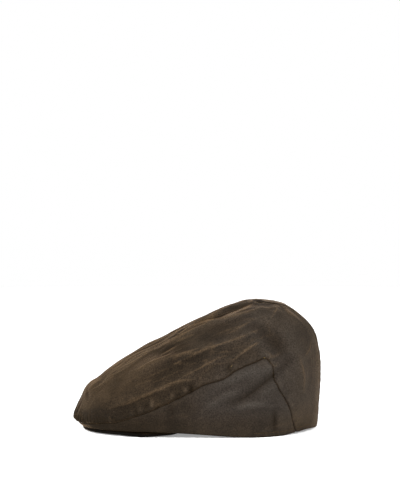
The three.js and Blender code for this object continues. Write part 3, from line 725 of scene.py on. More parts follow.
def cloth(turn, t, part):
    """The cloth at places of the crown, as a dictionary of arrays.

    outer holds points of its outside, across the direction through the wall, and the three looks say how
    pale the cloth is with wear, how much painted shade it has (below 0, painted highlight), and how grey it
    is with wax and painted sheen.
    """
    turn, t = np.broadcast_arrays(np.asarray(turn, float), np.asarray(t, float))
    turn, t = turn.ravel(), t.ravel()
    smooth, _ = crown(turn, t)
    normal = outward(turn, t)
    level = smoothstep(t, 0, HEM_SHARE)
    across = unit(normal * np.stack([np.ones_like(level), np.ones_like(level), level], axis=1))
    relief = SOFT * ripple(smooth, SOFT_LONG, 61.5)
    # kept collects painted shade along the seams, in the back seam's pit and along the hem, and a darker
    # band beside the front of the side seams
    kept = along_seam(relief, smooth, part)
    near_seam = kept.copy()
    small, small_wear = fine_creases(smooth, part)
    relief += small * level
    pitted, rubbed = along_back(relief, smooth)
    kept += pitted
    distance, arc = HEM_LINE.near(smooth, HEM_SPAN)
    rippled = ripple(beside(arc, 0), HEM_RIPPLE_LONG, 91.5)
    relief += HEM_RIPPLE * rippled * bell(distance, HEM_RIPPLE_TALL)
    # painted shade along the bottom of the front and along the hem's lower edge
    kept += HEM_SHADE * bell(distance, HEM_SHADE_TALL) * (1 - smoothstep(smooth[:, 0], *HEM_SHADE_TO))
    kept += HEM_EDGE_DARK * bell(distance, HEM_EDGE)
    # the grey tint: partly wax bloom, partly painted sheen, more on the side panels
    shares = TOP_WAX_AND_SHEEN if part == "top" else SIDE_WAX_AND_SHEEN
    wax_and_painted_sheen = np.interp(smooth[:, 0], shares["x"], shares["share"])
    wax_and_painted_sheen = wax_and_painted_sheen * (1 - HEM_WAX_AND_SHEEN * (1 - smoothstep(smooth[:, 2], *HEM_WAX_AND_SHEEN_TALL))) + SEAM_WAX_AND_SHEEN * near_seam
    astray, aloft = (ripple(smooth, BEND_LONG, seed) for seed in (51.5, 57.5))
    bend = BEND * np.stack([astray, np.zeros_like(t), aloft], axis=1)
    folded = np.zeros(len(t))
    for _ in range(2):  # first about where the smooth cloth shows, then where the folded cloth does
        at = smooth + across * (relief + folded)[:, None] + bend
        folded, worn, dark = np.zeros((3, len(t)))
        for side, folds, creases, dents in (
            (1, LEFT_FOLDS, LEFT_CREASES, LEFT_DENTS),
            (-1, RIGHT_FOLDS, RIGHT_CREASES, RIGHT_DENTS),
        ):
            facing = smoothstep(-side * normal[:, 1], *FACING)
            seen = np.flatnonzero(facing > 0)
            x, up = side_view(at[seen], side)
            # the dents' painted shade and, below 0, painted light
            dented, painted_patch = dent_relief(dents, x, up)
            folded[seen] += facing[seen] * dented
            dark[seen] += facing[seen] * painted_patch
            for shapes in (folds, creases):
                rise, wear, shade = fold_relief(shapes, x, up)
                folded[seen] += facing[seen] * rise
                dark[seen] += facing[seen] * shade
                worn[seen] += facing[seen] * wear
    relief += folded
    worn = (worn + rubbed + FINE_WEAR * small_wear) * (0.85 + 0.4 * ripple(smooth, STREAKS_LONG, 71.5))
    return {
        "across": across,
        "outer": smooth + across * relief[:, None],
        "worn": np.clip(worn, 0, 1),
        # painted shade: darker in sunken cloth, the seams, the pit and along the hem; below 0, painted
        # highlight on raised cloth
        "hollow_shade": np.clip(kept + dark - relief / SHADE_DEPTH, *PAINTED_SHADE_RANGE),
        "wax_and_painted_sheen": np.clip(wax_and_painted_sheen, 0, 1),
    }


def strip(a, n, b, m):
    """Faces between a ring of n points from number a and a ring of m points from number b."""
    if n < m:
        return [face[::-1] for face in strip(b, m, a, n)]
    i = np.arange(m if m > 1 else n)
    j = (i + 1) % len(i)
    if m == 1:
        parts = ([a + i, a + j, np.full(n, b)],)
    elif n == m:
        parts = ([a + i, a + j, b + j, b + i],)
    else:
        low, middle, high = a + 2 * i, a + 2 * i + 1, a + 2 * j
        near, far = b + i, b + j
        parts = ([low, middle, near], [middle, far, near], [middle, high, far])
    return [face for part in parts for face in np.stack(part, axis=1).tolist()]


def loft(name, rings, values, uv):
    """A closed mesh through rings of points in millimetres, with a value for each point.

    A ring may have as many points as the one before, half or twice as many, or be a single point. An
    end ring with more points is closed by one face. values are the point attributes and uv the
    coordinates of the cloth's weave, in millimetres.
    """
    points = np.concatenate(rings)
    starts = np.append(0, np.cumsum([len(ring) for ring in rings]))
    faces = []
    for k in range(len(rings) - 1):
        faces += strip(starts[k], len(rings[k]), starts[k + 1], len(rings[k + 1]))
    if len(rings[0]) > 1:
        faces.append(list(range(len(rings[0])))[::-1])
    if len(rings[-1]) > 1:
        faces.append(list(range(starts[-2], starts[-1])))
    mesh = bpy.data.meshes.new(name)
    mesh.from_pydata((points * MM).tolist(), [], faces)
    for key, data in values.items():
        attribute = mesh.attributes.new(key, "FLOAT", "POINT")
        attribute.data.foreach_set("value", np.concatenate(data).astype(np.float32))
    corners = np.empty(len(mesh.loops), np.int32)
    mesh.loops.foreach_get("vertex_index", corners)
    layer = mesh.uv_layers.new(name="cloth")
    layer.uv.foreach_set("vector", (np.concatenate(uv) * MM)[corners].astype(np.float32).ravel())
    if volume(mesh) < 0:
        mesh.flip_normals()
    mesh.polygons.foreach_set("use_smooth", np.ones(len(mesh.polygons), bool))
    mesh.validate()
    body = bpy.data.objects.new(name, mesh)
    bpy.context.scene.collection.objects.link(body)
    return body


def volume(mesh):
    """The volume that a closed mesh holds: negative where its faces point inwards."""
    mesh.calc_loop_triangles()
    index = np.empty(len(mesh.loop_triangles) * 3, np.int32)
    mesh.loop_triangles.foreach_get("vertices", index)
    co = np.empty(len(mesh.vertices) * 3, np.float32)
    mesh.vertices.foreach_get("co", co)
    a, b, c = (co.reshape(-1, 3)[index.reshape(-1, 3)[:, k]] for k in range(3))
    return float((a * np.cross(b, c)).sum() / 6)


EDGE_ROWS = (0, 0.18, 0.42, 0.75, 1.2, 1.8, 2.6)  # distances from a panel's edge, in millimetres


def rolled(distance):
    """How far a panel's rounded edge turns in."""
    q = np.clip(1 - distance / ROLL, 0, 1)
    return ROLL * (1 - np.sqrt(1 - q**2))


GATHERED = 2.0  # the station up to which the top panel's columns are closer, for the gathers
TOP_COLUMNS = (104, 106, 52, 26)  # on one side: to there, to the seam's corner, to its foot, to the back
TOP_OUTER_ROWS, TOP_INNER_ROWS = 164, 44
ROW_GROWTH = 1.2
COLUMN_GAP = 1.4  # a ring has half as many columns where they would be closer together
MOST_HALVED = 4  # how often that happens at most
SETTLED = 0.4  # the share of the way up at which the columns and rows have left the seam's form
FAN, EASE = 5, 30  # over how many columns the rows turn round the corner, and higher up lose it


def rear_stations(count):
    """Stations evenly spaced along the seam, from its corner down to the hem."""
    seam = SEAMS["left"]
    ends = np.interp([SEAM_CORNER, SIDE_END], SEAM_STATIONS, seam.arc)
    return np.interp(np.linspace(*ends, count + 1), seam.arc, SEAM_STATIONS)


def top_columns():
    """The top panel's columns on the left, from the front to the back.

    start and share say where a column leaves the seam, off_turn and off_share the way square to the
    seam for each millimetre, even its place higher up, and level the share that its rows settle to.
    """
    start = spaced(0, GATHERED, SEAM_CORNER, SIDE_END, LAST, counts=TOP_COLUMNS)
    corner, foot = sum(TOP_COLUMNS[:2]), sum(TOP_COLUMNS[:3])
    start[corner : foot + 1] = rear_stations(TOP_COLUMNS[2])
    share, _ = seam_share(start, SEAM_GAP / 2)
    off_turn, off_share = square_to(start, share, FAN)
    off_turn[[0, -1]] = 0
    even = np.linspace(0, LAST, len(start))
    return start, share, off_turn, off_share, even, spread_out(share, EASE)


def top_rings(rows, halved, wall):
    """The top panel's rings from its edge up to its crest, for its outside or, with a wall, its inside."""
    start, share, off_turn, off_share, even, level = top_columns()
    rings = []
    for distance in EDGE_ROWS[:-1] if wall == 0 else EDGE_ROWS[:1]:
        rings.append((start + distance * off_turn, share + distance * off_share, rolled(distance)))
    edge_turn, edge = start + EDGE_ROWS[-1] * off_turn, share + EDGE_ROWS[-1] * off_share
    for f in np.linspace(0, 1, rows, endpoint=False) ** ROW_GROWTH:
        settled = smoothstep(f, 0, SETTLED)
        low = edge + (level - edge) * settled
        rings.append((edge_turn + (even - edge_turn) * settled, low + (1 - low) * f, 0.0))
    made = []
    for turns, t, turned in rings:
        turns = np.concatenate([turns, (2 * LAST - turns[1:-1])[::-1]])
        t = np.concatenate([t, t[-2:0:-1]])
        place = crown(turns, t)[0]
        radius = np.hypot(place[:, 0] - CREST[0], place[:, 1]).mean()
        count = len(turns) * COLUMN_GAP / (2 * np.pi * radius)
        skip = 2 ** int(np.clip(math.floor(math.log2(count)), halved, MOST_HALVED))
        kept = turns[::skip]
        made.append((kept, t[::skip], np.full(len(kept), 0.0 if wall else turned)))
    turns, t, turned = (np.concatenate(column) for column in zip(*made))
    found = cloth(turns, t, "top")
    found["outer"] = found["outer"] - found["across"] * (turned + wall)[:, None]
    hem = crown(turns, 0)[0] - CREST
    angle = np.arctan2(hem[:, 1], hem[:, 0])
    reach = (1 - t) * crown(turns, t)[1]
    found["uv"] = np.stack([np.cos(angle), np.sin(angle)], axis=1) * reach[:, None]
    ends = np.cumsum([len(ring[0]) for ring in made])[:-1]
    return {key: np.split(value, ends) for key, value in found.items()}


def crest_point(wall):
    """The single point that closes the top panel's outside or, with a wall, its inside."""
    found = cloth(np.zeros(1), np.ones(1), "top")
    found["outer"] = found["outer"] - found["across"] * wall
    found["uv"] = np.zeros((1, 2))
    return found


LOOKS = ("worn", "hollow_shade", "wax_and_painted_sheen")
KEYS = ("outer", "uv", *LOOKS)


def top_panel(wall):
    """The top panel: its inside from the crest to the edge, and its outside from there back up."""
    outside = top_rings(TOP_OUTER_ROWS, 0, 0.0)
    inside = top_rings(TOP_INNER_ROWS, 1, wall)
    for found, depth in ((outside, 0.0), (inside, wall)):
        tip = crest_point(depth)
        for key in KEYS:
            found[key].append(tip[key])
    rings = {key: [*reversed(inside[key]), *outside[key]] for key in KEYS}
    values = {key: rings[key] for key in LOOKS}
    return loft("top_panel_cloth", rings["outer"], values, rings["uv"])


SIDE_COLUMNS = (260, 76)  # from the front to the seam's corner, and on to its foot
SIDE_OUTER_ROWS, SIDE_INNER_ROWS = 60, 20


def side_panel(side, wall):
    """A side panel, with one ring round its wall for each of its columns."""
    part = "left" if side > 0 else "right"
    turns = spaced(SIDE_START, SEAM_CORNER, SIDE_END, counts=SIDE_COLUMNS)
    turns[SIDE_COLUMNS[0] :] = rear_stations(SIDE_COLUMNS[1])
    if side < 0:
        turns = (2 * LAST - turns)[::-1]
    end, square = seam_share(turns, -SEAM_GAP / 2)
    _, length = crown(turns, end)
    arc = np.append(0, np.cumsum(np.linalg.norm(np.diff(crown(turns, 0)[0], axis=0), axis=1)))
    outside, inside = np.linspace(0, 1, SIDE_OUTER_ROWS), np.linspace(1, 0, SIDE_INNER_ROWS)
    layers = []
    for rows, depth in ((outside, 0.0), (inside, wall)):
        t = end[:, None] * rows[None, :]
        found = cloth(np.repeat(turns, len(rows)), t.ravel(), part)
        from_seam = ((end[:, None] - t) / square[:, None]).ravel()
        from_hem = (t * length[:, None]).ravel()
        turned = 0.0 if depth else np.maximum(rolled(from_seam), rolled(from_hem))
        found["outer"] = found["outer"] - found["across"] * (depth + turned * np.ones(t.size))[:, None]
        found["uv"] = np.stack([np.repeat(arc, len(rows)), from_hem], axis=1)
        layers.append({key: found[key].reshape(len(turns), len(rows), -1) for key in KEYS})
    rings = {key: list(np.concatenate([layer[key] for layer in layers], axis=1)) for key in KEYS}
    values = {key: [ring[:, 0] for ring in rings[key]] for key in LOOKS}
    return loft(part + "_side_cloth", rings["outer"], values, rings["uv"])


# The peak: a crescent with its outer edge just under the hem and its inner edge along the opening.
PEAK_TAIL, PEAK_THICK, TAIL_THICK, THIN_FROM = 3.35, 3.6, 1.8, 2.5
PEAK_ROUNDING, ROUNDINGS = 1.5, 2.2  # of the outer edge, which is at least so many roundings thick
PEAK_INSET, FRONT_INSET, FRONT_TO, TAIL_INSET = 0.9, 2.2, 1.2, 2.7
TUCK_FROM, TUCK_TO, PEAK_ARCH = 2.6, 3.05, 8
OPENING_X, OPENING_LONG, OPENING_WIDE, OPENING_TURN = 32, 97, 79, 1.0
PEAK_EDGE = table("station up", (0, 0.5), (1, 1.2), (2, 1.3), (2.6, 0), (2.9, 1), (3.4, 3.2))
PEAK_SECTIONS, PEAK_ROWS, ROUNDING_STEPS, PEAK_ROW_GROWTH = 220, 16, 4, 1.3


def hem_at(station):
    """The hem's outline on the floor."""
    x, y = at_station(HEM["x"], station), at_station(HEM["y"], station, odd=True)
    return np.array([x, y, 0.0])


def peak_section(share):
    """One cross-section of the peak, from its inner edge out along the underside and back over the top."""
    station = np.float64(PEAK_TAIL * abs(share))
    hem = hem_at(station)
    inwards = unit(np.cross(hem_at(station + NEAR) - hem, (0, 0, -1)))
    tuck = smoothstep(station, TUCK_FROM, TUCK_TO)
    front = 1 - smoothstep(station, 0, FRONT_TO)
    inset = PEAK_INSET + (TAIL_INSET - PEAK_INSET) * tuck + (FRONT_INSET - PEAK_INSET) * front
    outer = hem + inwards * inset
    angle = OPENING_TURN * abs(share)
    inner = np.array([OPENING_X - OPENING_LONG * math.cos(angle), -OPENING_WIDE * math.sin(angle), 0])
    thick = PEAK_THICK + (TAIL_THICK - PEAK_THICK) * smoothstep(station, THIN_FROM, PEAK_TAIL)
    rounding = min(PEAK_ROUNDING, thick / ROUNDINGS)
    base = np.interp(station, PEAK_EDGE["station"], PEAK_EDGE["up"])
    arch = PEAK_ARCH * (1 - share * share)
    deep = np.linalg.norm(outer - inner)

    def at(distance, up):
        place = outer + (inner - outer) * distance / deep
        return place[0], place[1] * (-1 if share < 0 else 1), base + arch * distance / deep + up

    flat = rounding + (deep - rounding) * np.linspace(0, 1, PEAK_ROWS) ** PEAK_ROW_GROWTH
    turns = np.linspace(0, np.pi / 2, ROUNDING_STEPS + 1)[1:]
    lower = [at(rounding * (1 - math.sin(a)), rounding * (1 - math.cos(a))) for a in turns]
    upper = [at(rounding * (1 - math.cos(a)), thick - rounding * (1 - math.sin(a))) for a in turns]
    return np.array([*(at(d, 0) for d in flat[::-1]), *lower, *upper, *(at(d, thick) for d in flat[1:])])


def peak_piece():
    """The covered peak, lofted from one tail round to the other."""
    rings = [peak_section(share) for share in np.linspace(-1, 1, PEAK_SECTIONS + 1)]
    plain = [np.zeros(len(ring)) for ring in rings]
    uv = [ring[:, :2] for ring in rings]
    return loft("peak_cover", rings, dict.fromkeys(LOOKS, plain), uv)


class Wire:
    """A node's output that takes part in arithmetic: each operation adds its Math node."""

    def __init__(self, tree, socket):
        self.tree, self.socket = tree, socket

    def math(self, operation, *others):
        return self.tree.node("ShaderNodeMath", {"operation": operation}, dict(enumerate((self, *others))))

    def __add__(self, other):
        return self.math("ADD", other)

    __radd__ = __add__

    def __mul__(self, other):
        return self.math("MULTIPLY", other)

    __rmul__ = __mul__

    def __sub__(self, other):
        return self.math("SUBTRACT", other)

    def __rsub__(self, other):
        return self * -1 + other

    def sine(self):
        return self.math("SINE")

    def between(self, low, high):
        """0 below low, 1 above high, and smooth from one to the other."""
        settings = {"interpolation_type": "SMOOTHSTEP"}
        values = {"Value": self, "From Min": low, "From Max": high}
        return self.tree.node("ShaderNodeMapRange", settings, values)


class Tree:
    """A node tree written as expressions."""

    def __init__(self, tree):
        self.tree = tree

    def node(self, kind, settings=None, values=None, output=0):
        """Adds a node: its settings, then the value or the link of each socket named or numbered."""
        node = self.tree.nodes.new(kind)
        for name, value in (settings or {}).items():
            setattr(node, name, value)
        for name, value in (values or {}).items():
            if isinstance(value, Wire):
                self.tree.links.new(value.socket, node.inputs[name])
            else:
                node.inputs[name].default_value = value
        return Wire(self, node.outputs[output]) if len(node.outputs) else node

    def mix(self, factor, a, b):
        """A colour between a and b."""
        colours = {k: (*v, 1.0) if isinstance(v, tuple) else v for k, v in ((6, a), (7, b))}
        return self.node("ShaderNodeMix", {"data_type": "RGBA"}, {0: factor, **colours}, output=2)

    def noise(self, place, scale, detail=2.0, roughness=0.5):
        values = {"Vector": place, "Scale": scale, "Detail": detail, "Roughness": roughness}
        return self.node("ShaderNodeTexNoise", None, values)

    def bump(self, strength, distance, height):
        values = {"Strength": strength, "Distance": distance, "Height": height}
        return self.node("ShaderNodeBump", None, values)

    def surface(self, values):
        """Ends a material with one shader of these values."""
        shader = self.node("ShaderNodeBsdfPrincipled", None, values)
        self.node("ShaderNodeOutputMaterial", None, {"Surface": shader})


def new_material(name):
    """An empty material and its tree."""
    material = bpy.data.materials.new(name)
    material.use_nodes = True
    material.node_tree.nodes.clear()
    return material, Tree(material.node_tree)


# How light each cloth is, and how strong its grain. The peak's very low tone is painted shade.
CLOTHS = {"creased_cloth": (1.0, 1.08), "side_cloth": (0.92, 0.85), "peak_cloth_painted_shade": (0.12, 1.0)}
THREADS = 3400.0  # threads of the weave in a metre
WEAVE_DEPTH, GRAIN_DEPTH, BUMP = 0.00005, 0.00022, 0.5
CLOUDS, PATCHES, GRAIN, SPECKS = 26.0, 9.0, 740.0, 700.0  # how fine each noise of the cloth is
WEAVE_SHADE = 0.08  # how far the weave varies the colour
PAINTED_SHADE_SHARE = 0.75  # how much of the deep colour the painted shade takes
PAINTED_HIGHLIGHT_SHARE, PAINTED_HIGHLIGHT_TINT = 0.8, 1.9  # painted highlight on raised cloth: how much of a paler tint it takes, and how pale that is
SPECK_SHARE = 0.35
ROUGH, CLOUD_SMOOTH, WORN_ROUGH = 0.72, 0.1, 0.12
PLY, PLY_DEPTH = 2600.0, 0.0001  # how fine the twist of a thread's ply is, and how deep


def waxed_cotton(name, look):
    """Waxed cotton: mottled, paler where it is creased, with a fine weave, painted shade in sunken cloth,
    painted highlight on raised cloth and a grey tint that is partly painted sheen.
    """
    tone, grainy = CLOTHS[name]
    material, tree = new_material(name)
    place = tree.node("ShaderNodeTexCoord", output=3)
    weave_at = tree.node("ShaderNodeUVMap", {"uv_map": "cloth"})
    across, along = (tree.node("ShaderNodeSeparateXYZ", None, {0: weave_at}, output=k) for k in (0, 1))
    turn = math.tau * THREADS / 2
    weave = (across * turn).sine() * (along * turn).sine()
    worn, hollow_shade, wax_and_painted_sheen = (
        tree.node("ShaderNodeAttribute", {"attribute_name": key}, output=2) for key in LOOKS
    )
    clouds = tree.noise(place, CLOUDS, 3.0, 0.55)
    patches = tree.noise(place, PATCHES)
    grain = tree.noise(place, GRAIN, 3.0, 0.8)
    specks = tree.noise(place, SPECKS, 0.0).between(0.84, 0.88)
    cloth, deep, bloom_and_painted_sheen = (tuple(c * tone for c in tint) for tint in (look.cloth, look.deep, look.bloom_and_painted_sheen))
    colour = tree.mix(clouds.between(0.35, 0.7), deep, cloth)
    # grey tint: partly wax bloom, partly painted sheen
    colour = tree.mix(wax_and_painted_sheen * (0.7 + 0.6 * patches.between(0.4, 0.65)), colour, bloom_and_painted_sheen)
    # painted shade in sunken cloth, the seams, the pit and along the hem
    colour = tree.mix(hollow_shade * PAINTED_SHADE_SHARE, colour, deep)
    # painted highlight on raised cloth: a paler brown, turning grey where the cloth has its grey tint
    light = tree.mix(wax_and_painted_sheen, tuple(c * PAINTED_HIGHLIGHT_TINT for c in cloth), tuple(look.painted_highlight))
    colour = tree.mix(hollow_shade * -PAINTED_HIGHLIGHT_SHARE, colour, light)
    streaks = worn * (0.85 + 0.9 * (grain - 0.5))
    colour = tree.mix(streaks.between(0.0, 1.0) * look.crease_strength, colour, tuple(look.crease))
    shade = (grain - 0.5) * (look.grain * grainy) + weave * WEAVE_SHADE + 1
    colour = tree.node("ShaderNodeVectorMath", {"operation": "SCALE"}, {0: colour, "Scale": shade})
    colour = tree.mix(specks * SPECK_SHARE, colour, tuple(look.speck))
    height = weave * WEAVE_DEPTH + grain * GRAIN_DEPTH
    tree.surface(
        {
            "Base Color": colour,
            "Roughness": ROUGH - CLOUD_SMOOTH * clouds.between(0.3, 0.8) + WORN_ROUGH * worn,
            "Normal": tree.bump(BUMP, 1.0, height),
            "Specular IOR Level": look.gloss,
            "Sheen Weight": look.sheen,
            "Sheen Roughness": look.sheen_roughness,
            "Sheen Tint": (*look.sheen_tint, 1.0),
        }
    )
    return material


def thread_material(name, colour):
    """Sewing thread: dull and slightly uneven, with the twist of its ply."""
    material, tree = new_material(name)
    ply = tree.noise(tree.node("ShaderNodeTexCoord", output=3), PLY, 1.0)
    tint = tree.mix(ply, tuple(c * 0.7 for c in colour), tuple(colour))
    normal = tree.bump(0.4, PLY_DEPTH, ply)
    tree.surface({"Base Color": tint, "Roughness": 0.8, "Normal": normal, "Specular IOR Level": 0.03})
    return material


STITCH_SIZES = ("Pitch", "Length", "Thickness", "Unevenness")


def stitch_tree():
    """A row of stitches along each line of edges: one short round thread at every pitch."""
    group = bpy.data.node_groups.new("sewn_row", "GeometryNodeTree")
    face = group.interface
    face.new_socket("Line", in_out="INPUT", socket_type="NodeSocketGeometry")
    for name in STITCH_SIZES:
        face.new_socket(name, in_out="INPUT", socket_type="NodeSocketFloat")
    face.new_socket("Seed", in_out="INPUT", socket_type="NodeSocketInt")
    face.new_socket("Thread", in_out="INPUT", socket_type="NodeSocketMaterial")
    face.new_socket("Stitches", in_out="OUTPUT", socket_type="NodeSocketGeometry")
    tree = Tree(group)
    given = group.nodes.new("NodeGroupInput")
    line, pitch, length, thickness, uneven, seed, thread = (Wire(tree, s) for s in given.outputs[:7])
    curve = tree.node("GeometryNodeMeshToCurve", None, {0: line})
    curve = tree.node("GeometryNodeResampleCurve", {"mode": "LENGTH"}, {"Curve": curve, "Length": pitch})
    ball = tree.node("GeometryNodeMeshUVSphere", None, {"Segments": 6, "Rings": 4, "Radius": 0.5})
    size = tree.node("ShaderNodeCombineXYZ", None, {0: length, 1: thickness, 2: thickness})
    stitch = tree.node("GeometryNodeTransform", None, {"Geometry": ball, "Scale": size})
    tangent = tree.node("GeometryNodeInputTangent")
    facing = tree.node("FunctionNodeAlignRotationToVector", {"axis": "X"}, {"Vector": tangent})
    chance = {2: 1 - uneven, 3: 1 + uneven, "Seed": seed}
    scale = tree.node("FunctionNodeRandomValue", {"data_type": "FLOAT"}, chance, output=1)
    values = {"Points": curve, "Instance": stitch, "Rotation": facing, "Scale": scale}
    rows = tree.node("GeometryNodeInstanceOnPoints", None, values)
    rows = tree.node("GeometryNodeRealizeInstances", None, {0: rows})
    rows = tree.node("GeometryNodeSetShadeSmooth", None, {"Geometry": rows})
    rows = tree.node("GeometryNodeSetMaterial", None, {"Geometry": rows, "Material": thread})
    group.links.new(rows.socket, group.nodes.new("NodeGroupOutput").inputs[0])
    return group


def sew(name, lines, settings, thread):
    """Stitches along lines of points in millimetres, as one plain mesh."""
    points = np.concatenate(lines)
    edges, start = [], 0
    for line in lines:
        edges += [(start + k, start + k + 1) for k in range(len(line) - 1)]
        start += len(line)
    mesh = bpy.data.meshes.new(name + "_lines")
    mesh.from_pydata((points * MM).tolist(), edges, [])
    body = bpy.data.objects.new(name, mesh)
    bpy.context.scene.collection.objects.link(body)
    group = bpy.data.node_groups.get("sewn_row") or stitch_tree()
    modifier = body.modifiers.new("stitches", "NODES")
    modifier.node_group = group
    values = {name: getattr(settings, name.lower()) for name in (*STITCH_SIZES, "Seed")}
    values["Thread"] = thread
    for item in group.interface.items_tree:
        if item.item_type == "SOCKET" and item.in_out == "INPUT" and item.name in values:
            modifier[item.identifier] = values[item.name]
    depsgraph = bpy.context.evaluated_depsgraph_get()
    made = bpy.data.meshes.new_from_object(body.evaluated_get(depsgraph), depsgraph=depsgraph)
    body.modifiers.remove(modifier)
    body.data = made
    made.name = name
    bpy.data.meshes.remove(mesh)
    if not made.polygons:
        raise RuntimeError(f"{name} came out empty")
    return body


def on_cloth(turn, t, part, lift):
    """Points just off the finished cloth."""
    found = cloth(turn, t, part)
    return found["outer"] + found["across"] * lift


def stage_material(name, colour, glow):
    """Matt white paper over a faint light."""
    material, tree = new_material(name)
    values = {"Base Color": (*colour, 1.0), "Roughness": 0.9, "Specular IOR Level": 0.1}
    tree.surface({**values, "Emission Color": (1, 1, 1, 1), "Emission Strength": glow})
    return material


def colour_setting(name, description, *default):
    return FloatVectorProperty(name=name, description=description, subtype="COLOR", default=default)


def length_setting(name, description, default):
    return FloatProperty(
        name=name, description=description, default=default, subtype="DISTANCE", unit="LENGTH"
    )


def share_setting(name, description, default):
    return FloatProperty(
        name=name, description=description, default=default, min=0.0, max=1.0, subtype="FACTOR"
    )


def amount_setting(name, description, default):
    return FloatProperty(name=name, description=description, default=default, min=0.0)


class ClothSettings(bpy.types.PropertyGroup):
    """The waxed cotton of the crown and the peak."""

    wall: length_setting("Wall", "Thickness of the cloth with what is sewn behind it", 0.0018)
    cloth: colour_setting("Cloth", "The cloth where it is plain", 0.0250, 0.0165, 0.0092)
    # deep is both the darker tone of the mottling and the colour of the painted shade
    deep: colour_setting("Deep", "The cloth in hollows", 0.0100, 0.0067, 0.0036)
    # a grey tint: partly wax bloom, partly painted sheen
    bloom_and_painted_sheen: colour_setting("Bloom", "The cooler cloth under a film of wax", 0.0230, 0.0184, 0.0147)
    # the grey end of the painted highlight on raised cloth
    painted_highlight: colour_setting("Haze", "The palest film of wax", 0.044, 0.0385, 0.0325)
    crease: colour_setting("Crease", "The cloth where creases have moved the wax", 0.080, 0.051, 0.027)
    speck: colour_setting("Specks", "Lint and dust on the wax", 0.10, 0.085, 0.065)
    crease_strength: share_setting("Crease strength", "How pale worn creases are", 0.38)
    grain: amount_setting("Grain", "How far the grain varies the colour", 3.6)
    gloss: share_setting("Gloss", "Strength of the wax's reflection", 0.03)
    sheen: share_setting("Sheen", "Strength of the fibres' glow at the edges", 0.2)
    sheen_roughness: share_setting("Sheen roughness", "Spread of that glow", 0.25)
    sheen_tint: colour_setting("Sheen tint", "Colour of that glow", 1.0, 0.62, 0.32)


class StitchSettings(bpy.types.PropertyGroup):
    """The sewing."""

    pitch: length_setting("Pitch", "From one stitch to the next", 0.00195)
    length: length_setting("Length", "Length of a stitch that shows", 0.00135)
    thickness: length_setting("Thickness", "Thickness of the thread", 0.00045)
    unevenness: share_setting("Unevenness", "How far stitches differ in size", 0.12)
    seed: IntProperty(name="Seed", description="Seed of that chance", default=7, min=0)
    thread: colour_setting("Thread", "Colour of the sewing thread", 0.032, 0.019, 0.008)
    pale: colour_setting("Pale thread", "Colour of the thread at the hem", 0.075, 0.044, 0.015)
    loose: colour_setting("Loose thread", "Colour of the loose ends of thread", 0.22, 0.155, 0.06)


class StageSettings(bpy.types.PropertyGroup):
    """The floor, the light and the camera."""

    floor: colour_setting("Floor", "Colour of the floor", 0.86, 0.86, 0.86)
    ambient: amount_setting("Ambient", "Strength of the light from all round", 1.0)
    glow: amount_setting("Glow", "Light that the floor itself gives", 0.3)
    overhead: amount_setting("Overhead", "Strength of the light from straight above", 0.4)
    rear: amount_setting("Rear lamp", "Power of the rear lamp, in watts", 8.0)
    left: amount_setting("Left lamp", "Power of the left lamp, in watts", 51.0)
    right: amount_setting("Right lamp", "Power of the right lamp, in watts", 38.0)
    tilt: FloatProperty(
        name="Tilt",
        description="How far the camera looks down on the cap",
        default=VIEW_TILT,
        subtype="ANGLE",
        unit="ROTATION",
    )
    away: length_setting("Away", "Distance of the camera from the cap's middle", 2.2)


def dress(piece, nodes=()):
    """Ties a finished piece to the frame."""
    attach(piece, "root")
    if nodes:
        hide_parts(*nodes)


class CAP_OT_top_panel(bpy.types.Operator):
    """Make the top panel, with its folds, its gathers and the seam down the back."""

    bl_idname = "cap.top_panel"
    bl_label = "Top Panel"

    def execute(self, context):
        look = context.scene.cap_cloth
        piece = top_panel(look.wall / MM)
        piece.data.materials.append(waxed_cotton("creased_cloth", look))
        dress(piece, ["top_panel"])
        return {"FINISHED"}


class CAP_OT_side_panels(bpy.types.Operator):
    """Make the two side panels."""

    bl_idname = "cap.side_panels"
    bl_label = "Side Panels"

    def execute(self, context):
        look = context.scene.cap_cloth
        material = waxed_cotton("side_cloth", look)
        for side, name in ((1, "left"), (-1, "right")):
            piece = side_panel(side, look.wall / MM)
            piece.data.materials.append(material)
            dress(piece, [name + "_side_panel"])
        return {"FINISHED"}


class CAP_OT_peak(bpy.types.Operator):
    """Make the covered peak."""

    bl_idname = "cap.peak"
    bl_label = "Peak"

    def execute(self, context):
        look = context.scene.cap_cloth
        piece = peak_piece()
        piece.data.materials.append(waxed_cotton("peak_cloth_painted_shade", look))
        dress(piece, ["peak"])
        return {"FINISHED"}


STITCH_LIFT, HEM_LIFT = 0.1, 0.05  # how far stitches stand off the cloth
SIDE_SEWN = (0.02, SIDE_END - 0.03)  # the stations between which a side seam's stitches run
BACK_TURN = 4  # over how many points the back seam's stitches turn with it
BACK_BARE = 8  # points at each end of the back seam's path that carry no stitches
REAR_HEM_GAP, REAR_HEM_UP = 0.06, 0.026  # from a side panel to the rear hem's stitches, and their share
HEM_SEWN, HEM_SEWN_UP = (5.4, SIDE_END - 0.1), 5.0  # where a side panel's hem stitches show
# Loose ends of thread: the station, the height above the seam, and how far each stands off the cloth.
LOOSE_ENDS = ((5.625, 0.3, 0.6), (4.86, 6.2, -0.1))


def side_seam_rows():
    """Lines just above the two side seams."""
    station = spaced(SIDE_SEWN[0], SEAM_CORNER, SIDE_SEWN[1], counts=(700, 300))
    turns = (station, 2 * LAST - station)
    return [on_cloth(turn, seam_share(turn, SEAM_SEWN)[0], "top", STITCH_LIFT) for turn in turns]


def back_seam_rows():
    """Lines on both sides of the back seam."""
    turn, share = back_path()
    off_turn, off_share = square_to(turn, share, BACK_TURN)
    rows = []
    for off in (-BACK_SEWN, BACK_SEWN):
        row = on_cloth(turn + off * off_turn, share + off * off_share, "top", STITCH_LIFT)
        rows.append(row[BACK_BARE:-BACK_BARE])
    return rows


